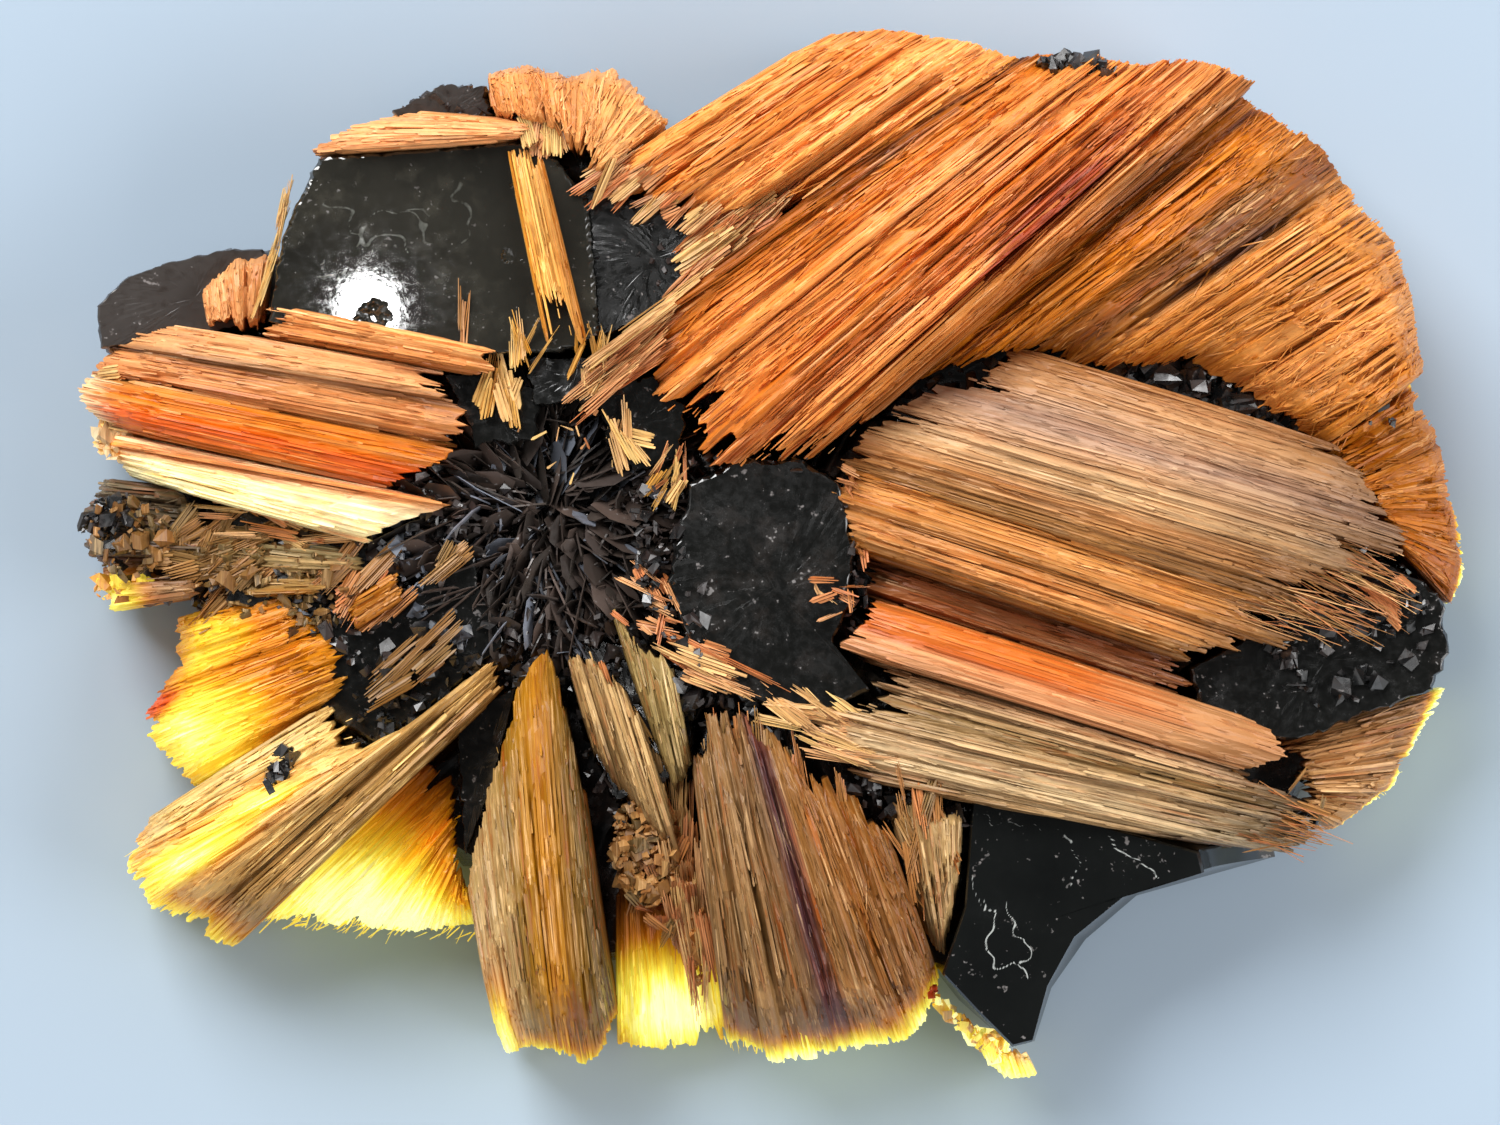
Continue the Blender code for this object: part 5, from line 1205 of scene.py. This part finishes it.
rubble = {
    # place, half widths, turn in degrees, height, number, size, colour 0 cream to 1 olive, glow
    "lower_gap": ((-5.2, -11.7), (1.3, 2.1), 5, 6.5, 330, (0.12, 0.5), (0.3, 0.9), 0.0),
    "lower_gap_right": ((-3.4, -14.4), (0.5, 2.8), 8, 5.8, 160, (0.12, 0.45), (0.2, 0.7), 0.15),
    "knob_left": ((-26.0, 0.9), (1.7, 1.6), 0, 6.9, 120, (0.1, 0.5), (0.7, 0.95), 0.0),
    "knob_left_low": ((-26.2, -1.2), (1.2, 0.6), 0, 6.0, 50, (0.12, 0.5), (0.2, 0.7), 0.5),
    "left_ground": ((-20.4, -0.7), (3.4, 1.8), -20, 6.8, 190, (0.1, 0.42), (0.75, 0.95), 0.0),
    "left_end": ((-26.75, 5.0), (0.4, 1.0), 8, 6.5, 46, (0.25, 0.7), (0.0, 0.1), 0.3),
    "tip_rim": ((7.0, -18.3), (1.9, 0.14), -41, 4.4, 80, (0.12, 0.4), (0.0, 0.25), 0.8),
    "red_bit": ((6.2, -17.4), (0.45, 0.22), 0, 6.0, 16, (0.12, 0.36), (1.0, 1.0), 0.0),
    "lower_tip": ((8.9, -19.6), (1.0, 0.4), -20, 4.0, 40, (0.2, 0.6), (0.0, 0.2), 0.9),
}


rubbleLook = {
    "bands": [(0.0, (248, 226, 182)), (0.3, (214, 168, 112)), (0.6, (176, 122, 74)), (0.9, (104, 84, 50)),
        (0.97, (104, 84, 50)), (1.0, (214, 74, 38))],
    "wander": 0.0, "rich": 1.08, "deep": (120, 74, 40), "glow": True,
}


def buildRubble():
    # crumbled rutile
    rng = np.random.RandomState(57)
    heap = Heap("look", "light", "fibre")
    for place, half, turn, height, count, (least, most), hue, glow in rubble.values():
        corners, faces, _ = shards(rng, count, place, half, turn, height, least, most)
        own = rng.uniform(0, 1, count)
        look = np.stack([own, rng.uniform(*hue, count), own], axis=-1)
        # painted glow: the second light value lets bits near the glowing edges give off light
        light = np.stack([rng.uniform(0.6, 1, count), glow * rng.uniform(0, 1.6, count), np.zeros(count)], axis=-1)
        fibre = corners + (own * 40)[:, None, None]
        heap.add(corners.reshape(-1, 3), faces, bodies=count, look=np.repeat(look, 8, axis=0),
                 light=np.repeat(light, 8, axis=0), fibre=fibre.reshape(-1, 3))
    heap.make("rubble", rutileFinish("rutile_rubble", rubbleLook))


splinters = {
    # place, half widths, turn, bearing and its spread, length, width of a block, height and rise, blocks, needles
    # in each, colour from 0 golden over 0.3 cream, 0.6 salmon and 0.8 tan to 1 olive
    "star_golden": ((-11.0, 6.9), (0.7, 1.2), 0, (90, 10), (1.4, 3.0), (0.3, 0.9), (8.3, 0.3), 9, 5, (0.1, 0.35)),
    "star_v": ((-6.0, 4.9), (0.7, 0.9), 0, (118, 24), (1.2, 2.6), (0.3, 0.8), (8.5, 0.2), 6, 5, (0.15, 0.45)),
    "star_cream": ((-7.1, 7.6), (0.5, 0.6), 0, (80, 20), (0.8, 1.5), (0.2, 0.5), (8.8, 0.2), 4, 4, (0.25, 0.5)),
    "star_bits": ((-8.4, 4.6), (2.4, 1.6), 0, (60, 60), (0.3, 0.9), (0.05, 0.15), (7.8, 0.2), 14, 1, (0.2, 0.6)),
    "plate_pair": ((-12.5, 9.8), (0.3, 0.7), 0, (88, 3), (2.2, 3.6), (0.15, 0.3), (9.5, 0.2), 3, 3, (0.1, 0.9)),
    "plate_pair_right": ((-10.4, 9.2), (0.3, 0.7), 0, (95, 5), (1.4, 2.6), (0.12, 0.3), (9.5, 0.2), 3, 3, (0.0, 0.4)),
    "plate_fan": ((-8.6, 8.7), (2.2, 0.5), 0, (82, 24), (1.0, 2.6), (0.1, 0.35), (9.3, 0.3), 12, 4, (0.0, 0.3)),
    "front_roots": ((-5.2, 8.4), (2.2, 0.8), 40, (38, 5), (2.4, 5.0), (0.25, 0.7), (8.9, 0.9), 22, 8, (0.35, 0.65)),
    "front_left_long": ((-4.6, 9.9), (1.8, 0.25), 38, (37, 2), (4.0, 7.0), (0.15, 0.4), (9.2, 1.2), 7, 4, (0.2, 0.5)),
    "step_fibres": ((-1.5, 13.3), (2.4, 0.9), 42, (38, 6), (1.5, 4.5), (0.3, 0.9), (9.3, 0.5), 34, 6, (0.3, 0.7)),
    "top_roots": ((-5.0, 14.9), (2.6, 0.9), -25, (40, 9), (1.0, 3.0), (0.2, 0.8), (9.6, 0.3), 30, 6, (0.3, 0.65)),
    "plate_left_edge": ((-4.2, 3.6), (0.7, 1.4), 20, (75, 22), (0.8, 2.2), (0.15, 0.5), (8.0, 0.4), 14, 4, (0.0, 0.7)),
    "salmon": ((-4.9, -1.8), (1.5, 1.4), 0, (-45, 18), (0.7, 2.0), (0.15, 0.6), (7.8, 0.2), 16, 4, (0.45, 0.65)),
    "salmon_wedge": ((-2.2, -4.4), (2.0, 0.8), -25, (-28, 8), (1.4, 3.6), (0.25, 0.8), (8.1, 0.1), 20, 6, (0.35, 0.62)),
    "prism_root": ((2.4, -1.4), (0.8, 1.0), 0, (-30, 25), (0.7, 1.8), (0.1, 0.4), (8.3, 0.3), 9, 3, (0.3, 0.75)),
    "plate_right_edge": ((3.3, 1.8), (0.3, 2.0), 10, (-50, 45), (0.4, 1.2), (0.1, 0.4), (8.0, 0.3), 18, 3, (0.4, 0.8)),
    "cream_lower": ((2.4, -6.9), (2.4, 1.1), -25, (-20, 12), (1.4, 3.6), (0.2, 0.7), (8.1, 0.2), 34, 6, (0.28, 0.5)),
    "tuft_fibres": ((5.8, -11.4), (1.2, 2.4), 0, (-82, 12), (1.6, 3.6), (0.15, 0.6), (8.3, 0.2), 30, 5, (0.7, 1.0)),
    "ground_orange": ((-17.0, -1.0), (2.0, 1.0), -30, (222, 10), (1.4, 3.2), (0.5, 1.3), (6.9, 0.2), 10, 9, (0.6, 0.9)),
    "ground_gold": ((-12.6, -0.3), (1.1, 0.7), 35, (228, 6), (1.8, 3.2), (0.5, 1.0), (7.3, 0.1), 3, 9, (0.85, 1.0)),
    "inner_slivers": ((-14.4, -4.4), (2.4, 1.0), 40, (222, 5), (1.4, 3.4), (0.3, 0.7), (7.1, 0.1), 9, 6, (0.85, 1.0)),
    "left_ground": ((-22.2, 0.4), (3.0, 1.4), 0, (212, 20), (1.2, 3.0), (0.4, 1.2), (6.9, -0.2), 34, 9, (0.85, 1.0)),
    "left_pale": ((-20.6, 1.5), (2.8, 0.9), -12, (160, 14), (1.2, 2.8), (0.2, 0.6), (7.1, -0.1), 16, 6, (0.3, 1.0)),
    "left_under": ((-20.8, -2.4), (2.4, 1.2), -15, (218, 10), (1.6, 3.6), (0.6, 1.4), (6.4, -0.2), 20, 9, (0.75, 1.0)),
    "pocket_hairs": ((20.8, -0.4), (4.0, 2.6), -20, (-22, 7), (2.0, 5.0), (0.025, 0.05), (8.7, -0.7), 330, 1, (0.35, 1.0)),
    "pocket_orange": ((25.0, -1.7), (0.7, 0.7), -30, (-38, 12), (1.0, 2.2), (0.4, 0.8), (7.3, 0.1), 5, 7, (0.5, 0.65)),
    "low_end_hairs": ((19.2, -10.2), (2.8, 1.1), -15, (-18, 9), (1.4, 4.0), (0.025, 0.06), (7.6, -0.6), 190, 1, (0.6, 1.0)),
    "low_end_blocks": ((20.4, -9.9), (1.8, 1.2), -15, (-60, 40), (1.0, 2.2), (0.1, 0.35), (6.9, 0.0), 8, 4, (0.7, 1.0)),
    "bevel_fibres": ((-19.8, 13.2), (0.15, 2.4), -14, (76, 4), (1.4, 3.0), (0.1, 0.22), (8.8, 0.2), 16, 3, (0.25, 0.4)),
    "left_end_cream": ((-26.6, 6.6), (0.6, 1.2), 8, (172, 10), (0.5, 1.2), (0.4, 0.8), (7.6, -0.4), 10, 6, (0.25, 0.4)),
    "gap_strand": ((-3.5, -13.6), (0.8, 5.0), 8, (-85, 6), (1.8, 4.4), (0.2, 0.7), (7.0, -1.2), 34, 6, (0.3, 0.7)),
    "gap_rubble": ((-4.8, -12.6), (1.3, 2.8), 5, (-80, 30), (0.5, 1.6), (0.3, 0.9), (6.6, -0.3), 18, 7, (0.5, 1.0)),
    "blade_bits": ((-6.4, -6.2), (1.1, 2.4), 15, (-68, 8), (1.4, 3.4), (0.2, 0.6), (7.6, 0.0), 14, 5, (0.3, 1.0)),
    "tuft_roots": ((-9.5, 17.2), (1.0, 0.6), 0, (100, 25), (0.9, 2.0), (0.4, 0.9), (9.7, 0.1), 14, 8, (0.2, 0.6)),
    "centre_roots": ((0.4, -8.4), (3.0, 0.8), -27, (99, 5), (1.6, 3.4), (0.3, 0.8), (8.2, 0.0), 14, 7, (0.6, 1.0)),
    "centre_roots_left": ((-2.4, -7.4), (0.7, 0.9), 0, (97, 4), (1.4, 2.6), (0.3, 0.7), (8.0, 0.0), 5, 7, (0.85, 1.0)),
    "fringe_left": ((-18.6, -14.7), (6.6, 0.4), -6, (225, 14), (0.5, 1.2), (0.03, 0.07), (2.9, -0.5), 150, 1, (0.1, 0.3)),
    "fringe_inner": ((-24.8, -13.0), (1.8, 0.5), -45, (222, 10), (0.4, 1.0), (0.03, 0.07), (4.6, -0.5), 60, 1, (0.1, 0.3)),
    "fringe_centre": ((1.6, -19.4), (3.8, 0.4), 4, (-80, 14), (0.5, 1.1), (0.03, 0.07), (4.0, -0.5), 80, 1, (0.1, 0.3)),
}


# painted glow given to the fringe hairs
fringeGlow = 0.7
splinterLook = {
    "bands": [(0.0, (226, 160, 66)), (0.25, (238, 200, 130)), (0.45, (232, 180, 128)), (0.6, (214, 132, 84)),
        (0.8, (186, 130, 76)), (1.0, (130, 104, 60))], "wander": 0.1, "rich": 1.05, "deep": (140, 92, 50),
    "grooveShade": 0.6, "glow": True,
}


def buildSplinters():
    # loose blocks of parallel needles, side by side, each lying on what is under it; hairs are blocks of one, and
    # those of the fringes glow as the thin edges behind them do
    rng = np.random.RandomState(33)
    heap = Heap("look", "light", "fibre")
    s = np.array([0, 0.15, 1.0])
    for name, spec in splinters.items():
        (x, y), half, turn, (bearing, spread), long, wide, (height, rise), blocks, needles, hue = spec
        count = blocks * needles
        each = lambda values: np.repeat(values, needles, axis=0)
        reach = np.sqrt(rng.uniform(0, 1, blocks))
        around = rng.uniform(0, 2 * np.pi, blocks)
        c, v = np.cos(np.radians(turn)), np.sin(np.radians(turn))
        flat = np.stack([half[0] * reach * np.cos(around), half[1] * reach * np.sin(around)])
        middle = each(np.stack([x + c * flat[0] - v * flat[1], y + v * flat[0] + c * flat[1]], axis=-1))
        angle = each(np.radians(rng.normal(bearing, spread, blocks))) + rng.normal(0, 0.02, count)
        way = np.stack([np.cos(angle), np.sin(angle)], axis=-1)
        side = np.stack([-way[:, 1], way[:, 0]], axis=-1)
        length = each(rng.uniform(*long, blocks))
        width = each(wide[0] + (wide[1] - wide[0]) * rng.uniform(0, 1, blocks) ** 1.6)
        slot = np.tile((np.arange(needles) + 0.5) / needles - 0.5, blocks)
        start = middle + side * (slot * width)[:, None] - way * (length * rng.uniform(0.42, 0.56, count))[:, None]
        length = length * (1 - np.abs(slot - each(rng.uniform(-0.5, 0.5, blocks))) * 0.6) * rng.uniform(0.8, 1, count)
        line = start[:, None] + way[:, None] * (length[:, None] * s)[..., None]
        z = height + each(rng.uniform(-0.3, 0.15, (blocks, 1))) + rng.uniform(-0.05, 0.05, (count, 1))
        z = z - np.abs(slot)[:, None] * width[:, None] * 0.4 + (rise + each(rng.normal(0, 0.12, (blocks, 1)))) * s
        taper = np.stack([rng.uniform(0.1, 0.7, count), np.ones(count), rng.uniform(0.05, 0.95, count)], axis=1)
        girth = (width / needles * rng.uniform(1.0, 1.5, count))[:, None] * taper
        deep = np.maximum(girth, 0.25 * width[:, None] * taper)
        sideways = np.stack([-0.5 * girth, -0.36 * girth, 0.36 * girth, 0.5 * girth], axis=-1)
        tilt = rng.uniform(-0.3, 0.3, (count, 1))
        up = np.stack([-deep, tilt * girth, -tilt * girth, -deep], axis=-1)
        points = np.empty((count, 3, 4, 3))
        points[..., :2] = line[:, :, None] + side[:, None, None] * sideways[..., None]
        points[..., 2] = np.maximum(z[..., None] + up, underneath + 0.02 * np.arange(4))
        ring = np.concatenate([gridFaces(3, 4, wrap=True), [[0, 1, 2, 3]], [[11, 10, 9, 8]]])
        faces = (ring[None] + (np.arange(count) * 12)[:, None, None]).reshape(-1, 4)
        shape = (count, 3, 4)
        own = rng.uniform(0, 1, (count, 1, 1))
        tone = each(rng.uniform(*hue, (blocks, 1, 1)))
        whole = lambda value: np.broadcast_to(value, shape).ravel()
        look = np.stack([whole(own), whole(tone), whole(s[None, :, None])], axis=-1)
        # painted shade: the needles' sides get 0.6 of the light their tops get
        light = np.stack([whole(np.array([0.6, 1.0, 1.0, 0.6])), whole(fringeGlow if name.startswith("fringe") else 0.0),
                          whole(0.0)], axis=-1)
        fibre = np.stack([(sideways + (slot * width)[:, None, None]).ravel(), whole((length[:, None] * s)[..., None]),
                          whole(tone * 40)], axis=-1)
        heap.add(points.reshape(-1, 3), faces, bodies=count, look=look, light=light, fibre=fibre)
    heap.make("splinters", rutileFinish("rutile_splinters", splinterLook))


room = {
    "floorSize": 0.9, "floor": ((161, 177, 193), (165, 181, 196)),
    "lights": {  # place, what it looks at, size in metres, watts, round and unseen by the camera
        "key": ((-180, 280, 350), (0, 0, 5), 0.25, 2.7, False),
        "fill": ((330, -60, 260), (0, 0, 5), 0.3, 1.3, False),
        "lamp": ((-31.4, 20.1, 258), (-16, 10, 9), 0.0046, 0.005, True),
    },
}


def buildStage():
    # pale floor, dark zenith, a soft key from the upper left, a fill from the right and a small lamp
    mesh = bpy.data.meshes.new("floor")
    size = room["floorSize"]
    mesh.from_pydata([(-size, -size, 0), (size, -size, 0), (size, size, 0), (-size, size, 0)], [], [(0, 1, 2, 3)])
    floor = bpy.data.objects.new("floor", mesh)
    bpy.context.scene.collection.objects.link(floor)
    finish = Finish("floor", {"Roughness": 0.9, "Specular IOR Level": 0.1})
    place = finish.node("TexCoord", output=3)
    finish.feed("Base Color", finish.mix(finish.noise(place, 9.0), linear(*room["floor"][0]), linear(*room["floor"][1])))
    mesh.materials.append(finish.material)

    scene = bpy.context.scene
    scene.view_settings.view_transform = "Standard"
    world = bpy.data.worlds.new("room")
    scene.world = world
    world.use_nodes = True
    tree = world.node_tree
    coordinate = tree.nodes.new("ShaderNodeTexCoord")
    split = tree.nodes.new("ShaderNodeSeparateXYZ")
    ramp = tree.nodes.new("ShaderNodeValToRGB")
    tree.links.new(coordinate.outputs["Generated"], split.inputs[0])
    tree.links.new(split.outputs[2], ramp.inputs[0])
    ramp.color_ramp.elements[0].position = 0.45
    ramp.color_ramp.elements[0].color = (1.0, 1.0, 1.0, 1)
    ramp.color_ramp.elements[1].position = 0.88
    ramp.color_ramp.elements[1].color = (0.03, 0.03, 0.03, 1)
    tree.links.new(ramp.outputs[0], tree.nodes["Background"].inputs[0])

    for name, (place, aim, size, power, hidden) in room["lights"].items():
        light = bpy.data.lights.new(name, "AREA")
        light.shape = "DISK" if hidden else "SQUARE"
        light.size = size
        light.energy = power
        made = bpy.data.objects.new(name, light)
        scene.collection.objects.link(made)
        made.location = np.array(place) * mm
        way = (np.array(aim, float) - place) * mm
        made.rotation_euler = Vector(way).to_track_quat("-Z", "Y").to_euler()
        made.visible_camera = not hidden

    camera = bpy.data.cameras.new("camera")
    camera.lens = 150
    camera.sensor_width = 36
    view = bpy.data.objects.new("camera", camera)
    view.location = (-1.0 * mm, -0.1 * mm, 258 * mm)
    scene.collection.objects.link(view)
    scene.camera = view


for name, sheaf in sheaves.items():
    growSheaf(name, sheaf)
buildSlab()
buildPlate()
buildTablets()
buildBrokenTablet()
buildRosette()
buildCrumbs()
buildRubble()
buildSplinters()
buildStage()
